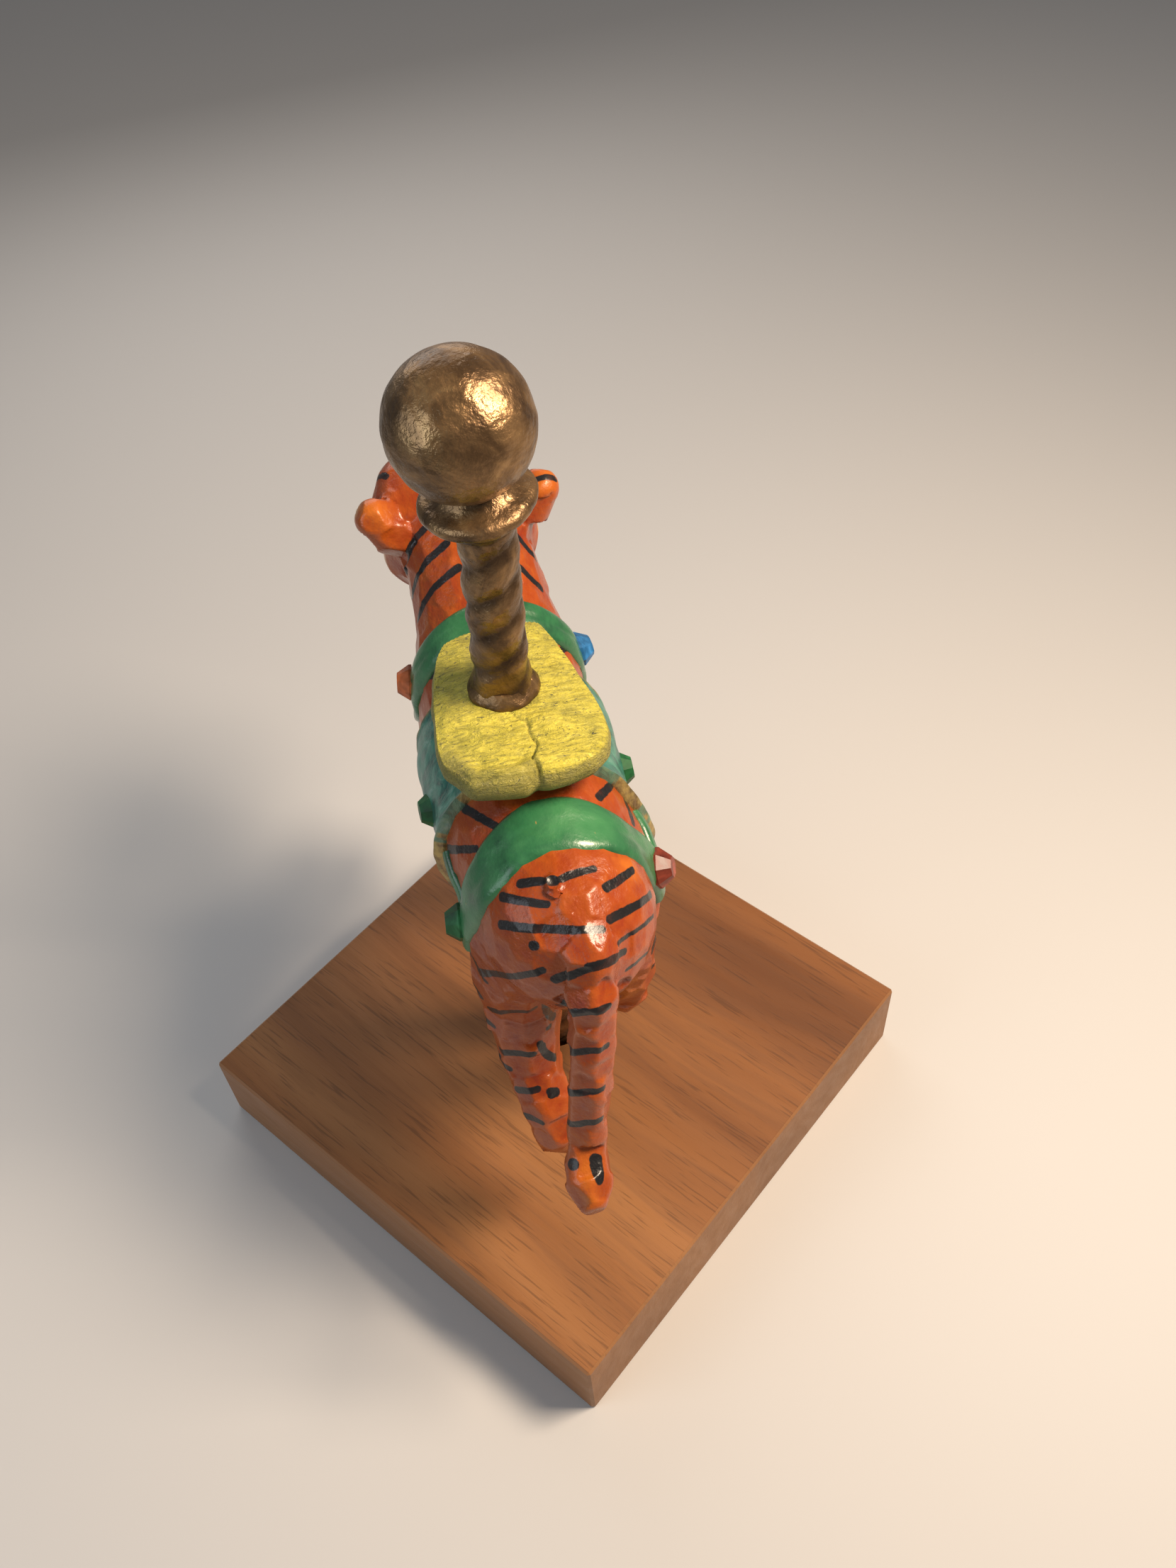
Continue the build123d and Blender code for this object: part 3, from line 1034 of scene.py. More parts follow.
class StoneGlass(Finish):
    """A faceted stone of coloured resin over foil."""

    def __init__(self, name: str, colour: tuple[float, float, float]) -> None:
        """Keeps the stone's name and colour."""
        self.name = name
        self.colour = colour

    def dress(self) -> None:
        """Sets the colour, its cloudiness and a soft gloss."""
        graph = self.graph
        cloud = self.noise(260.0, 3.0, 0.6, warp=0.8)
        pale = tuple(min(1.0, part * 1.9 + 0.02) for part in self.colour)
        deep = tuple(part * 0.45 for part in self.colour)
        self.feed("Base Color", graph.ramp(cloud, (0.33, deep), (0.52, self.colour), (0.72, pale)))
        self.shine(cloud, 0.38, 0.55)
        self.feed("Specular IOR Level", 0.42)
        self.feed("Coat Weight", 0.08)
        self.feed("Coat Roughness", 0.22)
        self.bump((self.noise(500.0, 2.0), 0.08, 0.0002))


class BareWood(Finish):
    """Pale dowel wood."""

    name = "bare_dowel"

    def dress(self) -> None:
        """Lays the straw colour and the pores."""
        grain = self.noise(500.0, 4.0, 0.6, (1.0, 1.0, 0.08))
        self.feed("Base Color", self.graph.ramp(grain, (0.3, (0.42, 0.28, 0.14)), (0.7, (0.62, 0.46, 0.27))))
        self.feed("Roughness", 0.65)
        self.bump((grain, 0.3, 0.0003))


class Walnut(Finish):
    """Oiled walnut: dark figure, pores and lighter sawn sides."""

    name = "walnut"

    def __init__(self, turn: float, height: float) -> None:
        """Keeps the plinth's turn about Z, in radians, which the grain follows, and its height in metres."""
        self.turn = turn
        self.half_height = height / 2

    def along_grain(self, scale: Point) -> bpy.types.NodeSocket:
        """Object coordinates turned into the board's own axes and stretched along its grain.

        Args:
            scale: The stretch along each of the board's axes.

        Returns:
            The coordinates.
        """
        turned = self.graph.node(
            "ShaderNodeVectorRotate", {"rotation_type": "Z_AXIS"}, Vector=self.place, Angle=-self.turn
        ).outputs[0]
        return self.graph.node("ShaderNodeMapping", None, Vector=turned, Scale=scale).outputs[0]

    def dress(self) -> None:
        """Lays the ground, the dark figure, the pores and the sides."""
        graph = self.graph
        bend = self.noise(24.0, 2.0, place=self.along_grain((1.0, 0.22, 0.6)))
        board = self.along_grain((1.0, 0.055, 0.55))
        shifted = graph.node(
            "ShaderNodeVectorMath", {"operation": "ADD"}, in0=board,
            in1=graph.node("ShaderNodeCombineXYZ", None, X=graph.math("MULTIPLY", bend, 0.040)).outputs[0],
        ).outputs[0]
        figure = self.noise(48.0, 3.5, place=shifted)
        ground = graph.ramp(
            figure, (0.28, (0.120, 0.043, 0.014)), (0.42, (0.205, 0.078, 0.025)),
            (0.56, (0.285, 0.114, 0.036)),
            (0.76, (0.370, 0.162, 0.056)),
        )
        streak = self.noise(420.0, 3.0, 0.6, place=shifted)
        ground = self.flecks(ground, streak, 0.34, 0.52, 0.20, (0.10, 0.044, 0.022))
        pores = self.noise(2600.0, 2.0, place=self.along_grain((1.0, 0.04, 0.8)))
        ground = self.flecks(ground, pores, 0.33, 0.42, 0.40, (0.05, 0.022, 0.011))
        height = graph.node("ShaderNodeSeparateXYZ", None, Vector=self.place).outputs["Z"]
        off_middle = graph.math("ABSOLUTE", graph.math("SUBTRACT", height, self.half_height))
        flank = graph.math("LESS_THAN", off_middle, self.half_height - 0.00005)
        side = graph.mix(0.5, ground, (0.36, 0.185, 0.085))
        self.feed("Base Color", graph.mix(flank, ground, side))
        self.shine(streak, 0.58, 0.42)
        self.feed("Specular IOR Level", 0.35)
        self.bump((streak, 0.16, 0.0004), (pores, 0.22, 0.0003))


@dataclass
class Tiger:
    """The carved animal: its lumps, its stripes and its glued-up pieces."""

    ink_width: float = 1.55
    blend_trunk: float = 4.5
    blend_limb: float = 2.6
    eye_radius: float = 2.1
    toe_radius: float = 1.5

    foreleg_left: tuple = (
        (8, -24, 90.5, 6.6), (8.6, -28, 81.5, 6.4), (9, -34, 71.5, 5.4), (9.2, -42, 63.5, 4.5),
        (9, -48, 56, 4.3), (9, -52.5, 52, 4.4), (9, -56.2, 51.4, 3.5),
    )
    foreleg_right: tuple = (
        (-9, -22, 90.5, 6.8), (-10, -25, 81.5, 6.6), (-10.8, -28, 71.5, 5.5), (-11, -27, 62, 4.6),
        (-11, -22, 55, 4.2), (-10.8, -21.5, 49, 4.3), (-10.6, -23.4, 45.9, 3.4),
    )
    hindleg_left: tuple = (
        (6.6, 24, 92.5, 7.4), (7.4, 24.5, 81.5, 6.9), (8, 26, 70.5, 6.2), (8.2, 30.5, 61.5, 4.7),
        (7, 36, 55.5, 4.1), (6, 38.4, 50.5, 4.0), (5.6, 38.6, 47.2, 3.0),
    )
    hindleg_right: tuple = (
        (-7.2, 21, 92.5, 7.6), (-9.2, 19, 81.5, 7.0), (-11.3, 17.5, 70.5, 5.9), (-12.2, 16.5, 60.5, 4.8),
        (-12, 15, 52, 3.9), (-12, 11.6, 47.5, 3.7), (-12, 9.2, 45.9, 3.0),
    )
    tail: tuple = (
        (-2.6, 34, 106.5, 3.8), (-2.2, 39.5, 103.5, 3.6), (-1.4, 43.5, 97.5, 3.4), (-0.4, 45.5, 88.5, 3.2),
        (0.8, 48, 79.5, 3.0), (2.2, 50.2, 70.5, 2.8), (3, 51.6, 66.6, 2.8), (3.4, 53.2, 64.6, 3.3),
        (3.8, 56.2, 63.4, 3.3), (4, 58.6, 62.6, 2.2),
    )

    def trunk(self) -> list[Lump]:
        """The barrel, rump, chest and neck.

        Returns:
            The lumps.
        """
        blend = self.blend_trunk
        return [
            Lump(Group.TORSO, (-1.2, 27, 97.5), (13.8, 15.5, 14.6), blend=blend),
            Lump(Group.TORSO, (0, 12, 98.2), (15.2, 18, 15.8), blend=blend),
            Lump(Group.TORSO, (0, -4, 98.2), (15.6, 18, 17.4), blend=blend),
            Lump(Group.TORSO, (0, -20, 99.2), (14.8, 15.5, 17.6), blend=blend),
            Lump(Group.TORSO, (0, -27, 92.5), (10, 8.5, 11.5), blend=blend),
            Lump(Group.TORSO, (1, 31.6, 111.4), (1.7, 2.1, 1.5), blend=0.5),
            Lump(Group.TORSO, (1, 32.2, 113.0), (0.9, 1.3, 0.9), blend=0.4, dig=True),
            Lump(Group.TORSO, (0, -24, 107), (12.4,) * 3, (0.5, -39, 116.5), 11.2, blend=4.5),
        ]

    def haunches(self) -> list[Lump]:
        """The thighs and shoulders that swell from the body.

        Returns:
            The lumps.
        """
        return [
            Lump(Group.HINDLEG_LEFT, (7.6, 23.5, 88), (6.6, 10.5, 13), blend=3.5),
            Lump(Group.HINDLEG_RIGHT, (-11.2, 17, 90), (7.4, 10, 13), blend=3.5),
            Lump(Group.FORELEG_LEFT, (8.2, -24.5, 90), (6.2, 8.5, 11), blend=3.5),
            Lump(Group.FORELEG_RIGHT, (-9.2, -22.5, 90), (6.2, 8.5, 11), blend=3.5),
        ]

    def head(self) -> list[Lump]:
        """The skull, muzzle, cheeks, brow and the eyes' hollows and balls.

        Returns:
            The lumps.
        """
        lumps = [
            Lump(Group.HEAD, (1.0, -46.5, 119.2), (12.8, 12.6, 11.2), blend=3.0),
            Lump(Group.HEAD, (0, -55.5, 115.4), (7.6, 7.4, 6.4), blend=3.0),
            Lump(Group.HEAD, (0, -57.2, 109.6), (5.2, 5.2, 3.6), blend=2.0),
            Lump(Group.HEAD, (0, -55, 121.5), (3.3,) * 3, (0, -61.6, 117.8), 2.5, blend=2.4),
            Lump(Group.HEAD, (2.6, -50.5, 127.4), (10.2, 5.0, 4.0), blend=4.0),
            Lump(Group.HEAD, (7.6, -46.5, 123.6), (7.6, 6.2, 6.0), blend=3.0),
        ]
        for side in Side:
            s = side.value
            lumps += [
                Lump(Group.HEAD, (8.6 * s + 0.8, -47.5, 113.4), (5.6, 6.6, 6.8), blend=2.4),
                Lump(Group.HEAD, (3.6 * s, -60.6, 113.6), (4.3, 3.8, 3.3), blend=1.4),
                Lump(Group.HEAD, (6.2 * s, -53.6, 124.6), (3.9, 3.0, 2.0), blend=2.6),
                Lump(Group.HEAD, (6.4 * s, -58.3, 120.6), (3.1, 3.0, 2.5), blend=1.2, dig=True),
                Lump(Group.HEAD, (6.1 * s, -56.2, 120.5), (self.eye_radius,) * 3, blend=0.5),
            ]
        lumps.append(Lump(Group.HEAD, (0, -62.8, 117.2), (2.5, 1.7, 1.7), blend=0.8))
        mouth = ((-3.2, -64.4, 111.4), (0.55,) * 3, (3.2, -64.4, 111.4), 0.55)
        lumps.append(Lump(Group.HEAD, *mouth, blend=0.7, dig=True))
        return lumps

    def ears(self) -> list[Lump]:
        """The rounded ears and the hollows in their fronts.

        Returns:
            The lumps.
        """
        lumps = []
        for side, group in ((Side.LEFT, Group.EAR_LEFT), (Side.RIGHT, Group.EAR_RIGHT)):
            s = side.value
            lumps += [
                Lump(
                    group, (12.0 * s + 0.9, -41.2, 123.4), (4.0,) * 3, (14.4 * s + 0.9, -41.0, 126.6), 3.1,
                    blend=1.4
                ),
                Lump(group, (14.2 * s + 0.9, -44.2, 127.0), (1.9, 2.2, 2.1), blend=0.8, dig=True),
            ]
        return lumps

    def toes(self) -> list[Lump]:
        """The toes at the end of each paw.

        Returns:
            The lumps.
        """
        lumps = []
        ends = (
            (Group.FORELEG_LEFT, self.foreleg_left), (Group.FORELEG_RIGHT, self.foreleg_right),
            (Group.HINDLEG_LEFT, self.hindleg_left), (Group.HINDLEG_RIGHT, self.hindleg_right),
        )
        for group, stations in ends:
            ankle, tip = np.array(stations[-2][:3]), np.array(stations[-1][:3])
            ahead = (tip - ankle) / np.linalg.norm(tip - ankle)
            across = np.cross(ahead, (0.0, 0.6, 0.8))
            across /= np.linalg.norm(across)
            for place in (-1.5, -0.5, 0.5, 1.5):
                start = tip + across * place * 1.75 - ahead * (0.8 + 0.5 * abs(place))
                end = start + ahead * 2.9
                lumps.append(
                    Lump(
                        group, tuple(start), (self.toe_radius,) * 3, tuple(end), self.toe_radius * 0.85,
                        blend=0.9
                    )
                )
        return lumps

    def tail_end(self) -> list[Lump]:
        """The ridge down the tail's tip."""
        return [Lump(Group.TAIL, (3.1, 53.2, 67.5), (0.8,) * 3, (4.0, 58.8, 64.6), 0.7, blend=1.0)]

    def carving(self) -> Carving:
        """All the lumps as one surface.

        Returns:
            The carving, not yet cut into a mesh.
        """
        limbs = []
        for group, stations in (
            (Group.FORELEG_LEFT, self.foreleg_left), (Group.FORELEG_RIGHT, self.foreleg_right),
            (Group.HINDLEG_LEFT, self.hindleg_left), (Group.HINDLEG_RIGHT, self.hindleg_right),
            (Group.TAIL, self.tail),
        ):
            limbs += limb_lumps(group, list(stations), 2.4 if group is Group.TAIL else self.blend_limb)
        return Carving(
            self.trunk() + self.haunches() + limbs + self.tail_end() + self.toes() + self.ears() + self.head()
        )

    def painted_strokes(self, carving: Carving) -> list[Stroke]:
        """The black strokes.

        Args:
            carving: The surface that they lie on.

        Returns:
            The strokes.
        """
        w = self.ink_width
        rump = [
            Bar(0, 57, 5.5), Bar(5.5, 54.5, 3, 0.3), Bar(2.5, 50, 7, 0.2), Bar(9.5, 43, 4.5, -0.2),
            Bar(-9, 54.5, 2.5, -0.2), Bar(-10, 50, 4, -0.1), Bar(-4.5, 44, 3), Bar(1, 43, 2.5, -0.3),
        ]
        thin_rump = [Bar(-10, 46.5, 3.5, -0.2), Bar(-10, 41.5, 2.5, -0.3)]
        tail = [Bar(0, 37, 3.3), Bar(0.5, 30, 2.8), Bar(2, 22.5, 2.6, -0.1), Bar(3, 16.5, 2.6, -0.2)]
        x, y, z = self.tail[-2][:3]
        tail_spots = [((x + 2.5, y - 1.5, z + 4.5),), ((x - 2.5, y, z + 6), (x - 2.5, y + 2.5, z + 4.5))]
        thighs = [Bar(10.5, 34, 4), Bar(11, 25, 3, 0.15), Bar(10, 17.5, 1.6), Bar(10, 12, 1.2, 0.5)]
        shoulders = [Bar(9, 67, 2, 0.8), Bar(13, 62.5, 2.4), Bar(-11.5, 67, 2, -0.4)]
        legs = [
            ((16.5, 22, 90), (17, 27, 89.5), (15.5, 31, 87)), ((16.5, 18, 83), (17, 23, 81.5), (16, 28, 79)),
            ((14.8, 21, 73), (15.2, 25, 72), (13.6, 29, 72)),
            ((12.6, 26, 65), (13.4, 29, 63.5), (11.8, 32.5, 63.5)),
            ((-18.5, 26, 91), (-19, 21, 90), (-18.5, 16, 91)),
            ((-18, 26, 82), (-18.5, 21, 80.5), (-17.5, 15.5, 81)),
            ((-16.5, 21.5, 72), (-17.4, 17.5, 71), (-16, 13.5, 72)),
            ((-16.6, 19.5, 64), (-16.9, 16, 63), (-15.5, 12.6, 63.5)),
            ((-16.6, 17, 54.5), (-16.4, 13.6, 54)), ((15.4, -20, 86), (16.6, -25, 85.5), (14.6, -31, 84.5)),
            ((16, -25, 77.5), (15.4, -31, 76.5), (12, -36, 75.5)), ((15.2, -34, 69), (14.8, -39, 67.5)),
            ((14.4, -41, 61.5), (13, -45, 63.5)), ((13.6, -47, 56), (12, -50, 57.5)),
            ((-15.6, -17, 86), (-16.6, -22, 85.5), (-15, -28.5, 84.5)),
            ((-16, -21, 77), (-16.2, -26, 75.5), (-13.6, -32, 75)),
            ((-15.6, -24, 68.5), (-15.8, -29, 67.5), (-12, -32.5, 67.5)),
            ((-15.2, -23, 60), (-15, -28, 59.5)),
            ((-14.9, -20, 54), (-14, -25, 53)),
        ]
        flanks = [((-16, 12.5, 104), (-16, 17.5, 104))]
        for side in Side:
            s = side.value
            flanks += [
                ((12.5 * s, -17, 111), (11 * s, -15, 112.5)),
                ((16.5 * s, 15, 95), (15.2 * s, 16, 88), (12 * s, 17, 84)),
                ((15.8 * s, 10, 89), (12 * s, 10.5, 84.5), (7 * s, 10, 82.5)),
                ((15.8 * s, -1, 88.5), (12 * s, -1.5, 84), (7 * s, -1, 81.5)),
                ((15 * s, -11, 88), (11.5 * s, -12, 84), (6 * s, -12, 82)),
                ((15.8 * s, -16, 98), (15 * s, -17, 92), (12 * s, -18, 86)),
                ((12.6 * s, -30, 97), (9 * s, -33, 92.5), (3.5 * s, -35, 91)),
                ((11.8 * s, -34, 104), (8.5 * s, -37, 100), (3 * s, -38, 98.5)),
            ]
        neck = [((10, -48, 125), (10, -48, 127))]
        for row in range(3):
            y, crest = -37 + 4.5 * row, 127 - 1.7 * row
            neck.append(
                ((5.5 - row, y, crest), (9.5 - 0.6 * row, y, crest - 4), (12.5 - 0.4 * row, y, crest - 10))
            )
        for row in range(2):
            y, crest = -34 + 6 * row, 123 - 2 * row
            neck.append(
                ((-8.5 + row, y, crest), (-10.5 + row, y + 1, crest - 2.5), (-11.5 + row, y + 1, crest - 5))
            )
        face = []
        for side in Side:
            s = side.value
            face += [
                ((2.2 * s, -51, 130.4), (5.4 * s, -49.5, 130), (8 * s, -47.5, 128.5)),
                ((2.0 * s, -55, 127.5), (5.2 * s, -54.4, 127.4), (8.4 * s, -52, 126)),
                ((10.6 * s, -53, 121), (12.6 * s, -49, 122), (13.4 * s, -45.5, 122)),
                ((11.6 * s, -53, 116), (14.6 * s, -49, 116.4), (16.6 * s, -45.5, 116.5)),
                ((11 * s, -53, 111.5), (14.2 * s, -49.6, 110.2), (16.2 * s, -46.5, 110)),
                ((9 * s, -52, 107.6), (12 * s, -48.4, 106.4)),
                ((4.0 * s, -60.0, 119.6), (6.2 * s, -59.6, 118.2), (8.8 * s, -56.8, 119.2)),
                ((3.8 * s, -59.6, 122.6), (6.4 * s, -58.4, 123.4), (8.8 * s, -55.8, 122.2)),
                ((3.6 * s, -64.6, 114.4),), ((5.4 * s, -63.8, 114.8),), ((5.0 * s, -64, 113.0),),
            ]
        face += [
            ((0, -65, 115.2), (0, -65, 112)), ((-1.8, -64.8, 117.9), (0, -65, 118.3), (1.8, -64.8, 117.9))
        ]
        laid = [bar.stroke(carving, w, w * 0.8) for bar in rump + tail + thighs + shoulders]
        laid += [bar.stroke(carving, w * 0.55, w * 0.5) for bar in thin_rump]
        laid.append(Bar(5.5, 48, 0.2).stroke(carving, 1.5, 1.5))
        brushed = (
            (neck + flanks, w * 0.95, w * 0.75), (legs, w, w * 0.75), (tail_spots, 2.1, 1.6),
            (face, w * 0.72, w * 0.5),
        )
        laid += [Stroke(places, width, end) for group, width, end in brushed for places in group]
        nose, ear_edge = ((0, -65, 117),), ((-12.6, -39.6, 129.6), (-14.6, -39.4, 130), (-16.6, -40, 128.6))
        laid += [Stroke(nose, 3.4), Stroke(ear_edge, 1.1)]
        return laid + [Stroke(((6.1 * side.value, -58.6, 120.2),), 2.5) for side in Side]

    def pale_strokes(self) -> list[Stroke]:
        """The cream of the muzzle, chin, brows and ears.

        Returns:
            The strokes.
        """
        laid = [
            Stroke(((0, -60, 108),), 7.5), Stroke(((0, -39, 100), (0, -36, 94), (0, -31, 86)), 5.0, 9.0),
        ]
        for side in Side:
            s = side.value
            laid += [
                Stroke(((4 * s, -63.5, 113.4),), 6.2),
                Stroke(((6 * s, -56, 125.4), (9 * s, -53.5, 124.4)), 2.6),
                Stroke(((12.4 * s, -52, 109), (15.6 * s, -48, 112)), 4.2),
                Stroke(((16.6 * s, -44.4, 127),), 4.2),
            ]
        return laid

    def amber_strokes(self) -> list[Stroke]:
        """Where the orange turns to yellow: the tail's tip, the ears and the edges of the seat.

        Returns:
            The strokes.
        """
        return [
            Stroke(((3.6, 55, 67.5), (4, 57, 66.6)), 2.6), Stroke(((4.2, 59, 64.5),), 2.0),
            Stroke(((-14.2, -39, 129), (-16.5, -40, 130.5)), 3.2),
            Stroke(((14.2, -39, 129), (16.5, -40, 130.5)), 3.2),
            Stroke(((-1, 24.5, 113.5), (4, 24.5, 113)), 3.0),
            Stroke(((-11, 31, 56), (-12, 27, 60)), 4.0), Stroke(((9, -20, 114), (12, -20, 111)), 3.0),
            Stroke(((6, -62.4, 119),), 1.0),
        ]

    def eye_strokes(self) -> list[Stroke]:
        """The whites of the eyes."""
        return [Stroke(((6.1 * side.value, -58.4, 120.5),), 4.0) for side in Side]

    def build(self, paint: bpy.types.Material) -> Carving:
        """Carves the animal, paints it and makes its pieces.

        Args:
            paint: The tiger's paint.

        Returns:
            The carving, for the pieces that lie on it.
        """
        carving = self.carving()
        carving.carve()
        base, normals = carving.places.copy(), carving.normals
        belly = np.where(base[:, 1] > -30, (normals[:, 2] + 0.74) * 9, 3.0)
        belly = np.where((base[:, 2] > 76) & (np.abs(base[:, 0]) < 12), belly, 3.0)
        laid = {
            "ink": stroke_distance(base, self.painted_strokes(carving), carving),
            "pale": np.minimum(stroke_distance(base, self.pale_strokes(), carving), belly),
            "amber": stroke_distance(base, self.amber_strokes(), carving),
            "white": stroke_distance(base, self.eye_strokes(), carving),
            # hollow: how hemmed in each point is by nearby carving; it sets the painted shade in the hollows.
            "hollow": np.clip(1.15 - carving.distance(base + normals * 3.2) / 3.2, 0, 1),
        }
        carving.facet()
        # ridge: how far the facets lifted each point; it sets the painted highlight on the ridges.
        laid["ridge"] = np.clip(carving.lift * 2.2, 0, 1)
        groups = list(Group)
        for number, group in enumerate(groups):
            places, faces, origin = capped(carving.places, carving.quads[carving.owners == number])
            piece = make_mesh(f"tiger_{group.value}", places, faces, 60.0)
            for name, values in laid.items():
                put_attribute(
                    piece, name, np.where(origin < 0, 3.0 if name != "hollow" else 1.0, values[origin])
                )
            finish_piece(piece, "tiger_paint", paint, group.value)
        return carving


def closed_strip(outer: np.ndarray, inner: np.ndarray, ring: bool) -> tuple[np.ndarray, list[list[int]]]:
    """A thin closed skin between two grids of the same shape.

    Args:
        outer: The outer face's places, rows by columns.
        inner: The inner face's places, in the same order.
        ring: Whether the last row joins the first.

    Returns:
        The places and faces.
    """
    rows, columns = outer.shape[:2]
    half = rows * columns
    places = np.concatenate([outer.reshape(-1, 3), inner.reshape(-1, 3)])
    faces = []
    for row in range(rows if ring else rows - 1):
        after = (row + 1) % rows
        for column in range(columns - 1):
            a, b = row * columns + column, row * columns + column + 1
            c, d = after * columns + column + 1, after * columns + column
            faces += [[a, b, c, d], [half + d, half + c, half + b, half + a]]
        first, last = row * columns, row * columns + columns - 1
        next_first, next_last = after * columns, after * columns + columns - 1
        faces += [[half + first, first, next_first, half + next_first]]
        faces += [[last, half + last, half + next_last, next_last]]
    if not ring:
        for column in range(columns - 1):
            a, b = column, column + 1
            faces.append([half + a, half + b, b, a])
            a, b = (rows - 1) * columns + column, (rows - 1) * columns + column + 1
            faces.append([a, b, half + b, half + a])
    return places, faces


@dataclass(frozen=True)
class Ribbon:
    """A painted strap that lies on the animal: a crowned band through a few places."""

    name: str
    node: str
    places: tuple[Point, ...]
    widths: tuple[float, ...]
    closed: bool = False
    thickness: float = 0.95
    sink: float = 0.35
    crease: float = 0.16
    columns: int = 15
    row_gap: float = 0.55

    def middle(self) -> tuple[np.ndarray, np.ndarray]:
        """The band's middle line.

        Returns:
            Closely spaced places along it, and its width at each.
        """
        guide = np.array(self.places, float)
        widths = np.array(self.widths, float)
        if self.closed:
            guide = np.concatenate([guide, guide[:1]])
            widths = np.concatenate([widths, widths[:1]])
        length = line_length(guide)
        count = int(length[-1] / self.row_gap)
        ticks = np.linspace(0, length[-1], count, endpoint=not self.closed)
        line = resample(guide, ticks)
        wide = np.interp(ticks, length, widths)
        for _ in range(14):
            before, after = np.roll(line, 1, axis=0), np.roll(line, -1, axis=0)
            eased = (before + 2 * line + after) / 4
            if not self.closed:
                eased[0], eased[-1] = line[0], line[-1]
            line = eased
            wide = np.convolve(
                np.pad(wide, 1, mode="wrap" if self.closed else "edge"), (0.25, 0.5, 0.25), "valid"
            )
        return line, wide

    def build(self, carving: Carving, paint: bpy.types.Material) -> None:
        """Lays the band on the surface and dresses it.

        Args:
            carving: The animal's surface.
            paint: The strap's paint.
        """
        line, wide = self.middle()
        line = carving.snap(line)
        along = np.roll(line, -1, axis=0) - np.roll(line, 1, axis=0)
        if not self.closed:
            along[0], along[-1] = line[1] - line[0], line[-1] - line[-2]
        along /= np.linalg.norm(along, axis=1, keepdims=True)
        normal = carving.slope(line)
        across = np.cross(along, normal)
        across /= np.linalg.norm(across, axis=1, keepdims=True)
        share = np.linspace(-1, 1, self.columns)
        wavy = 1 + 0.07 * noise_at(line, 5.0, 3)
        grid = line[:, None] + across[:, None] * (share[None, :, None] * (wide * wavy)[:, None, None] / 2)
        flat = grid.reshape(-1, 3)
        lumps = noise_at(flat, 3.4, 5) * 0.13 + noise_at(flat, 1.5, 6) * 0.05
        crown = np.sqrt(np.clip(1 - np.abs(np.tile(share, len(line))) ** 3.2, 0, 1))
        groove = np.exp(-((np.tile(share, len(line)) / 0.10) ** 2)) * self.crease
        lift = self.thickness * crown + lumps * crown - groove
        outer = self._lifted(carving, flat, lift).reshape(grid.shape)
        inner = self._lifted(carving, flat, np.full(len(flat), -self.sink)).reshape(grid.shape)
        places, faces = closed_strip(outer, inner, self.closed)
        piece = make_mesh(self.name, places, faces, 50.0)
        nodes = (self.node,) if self.node else ()
        finish_piece(piece, "strap_green", paint, *nodes)

    @staticmethod
    def _lifted(carving: Carving, points: np.ndarray, lift: np.ndarray) -> np.ndarray:
        """Points moved onto the surface and then out of it by their own lifts.

        Args:
            carving: The surface.
            points: The points.
            lift: How far out each one goes.

        Returns:
            The moved points.
        """
        ground = carving.snap(points)
        return ground + carving.slope(ground) * lift[:, None]


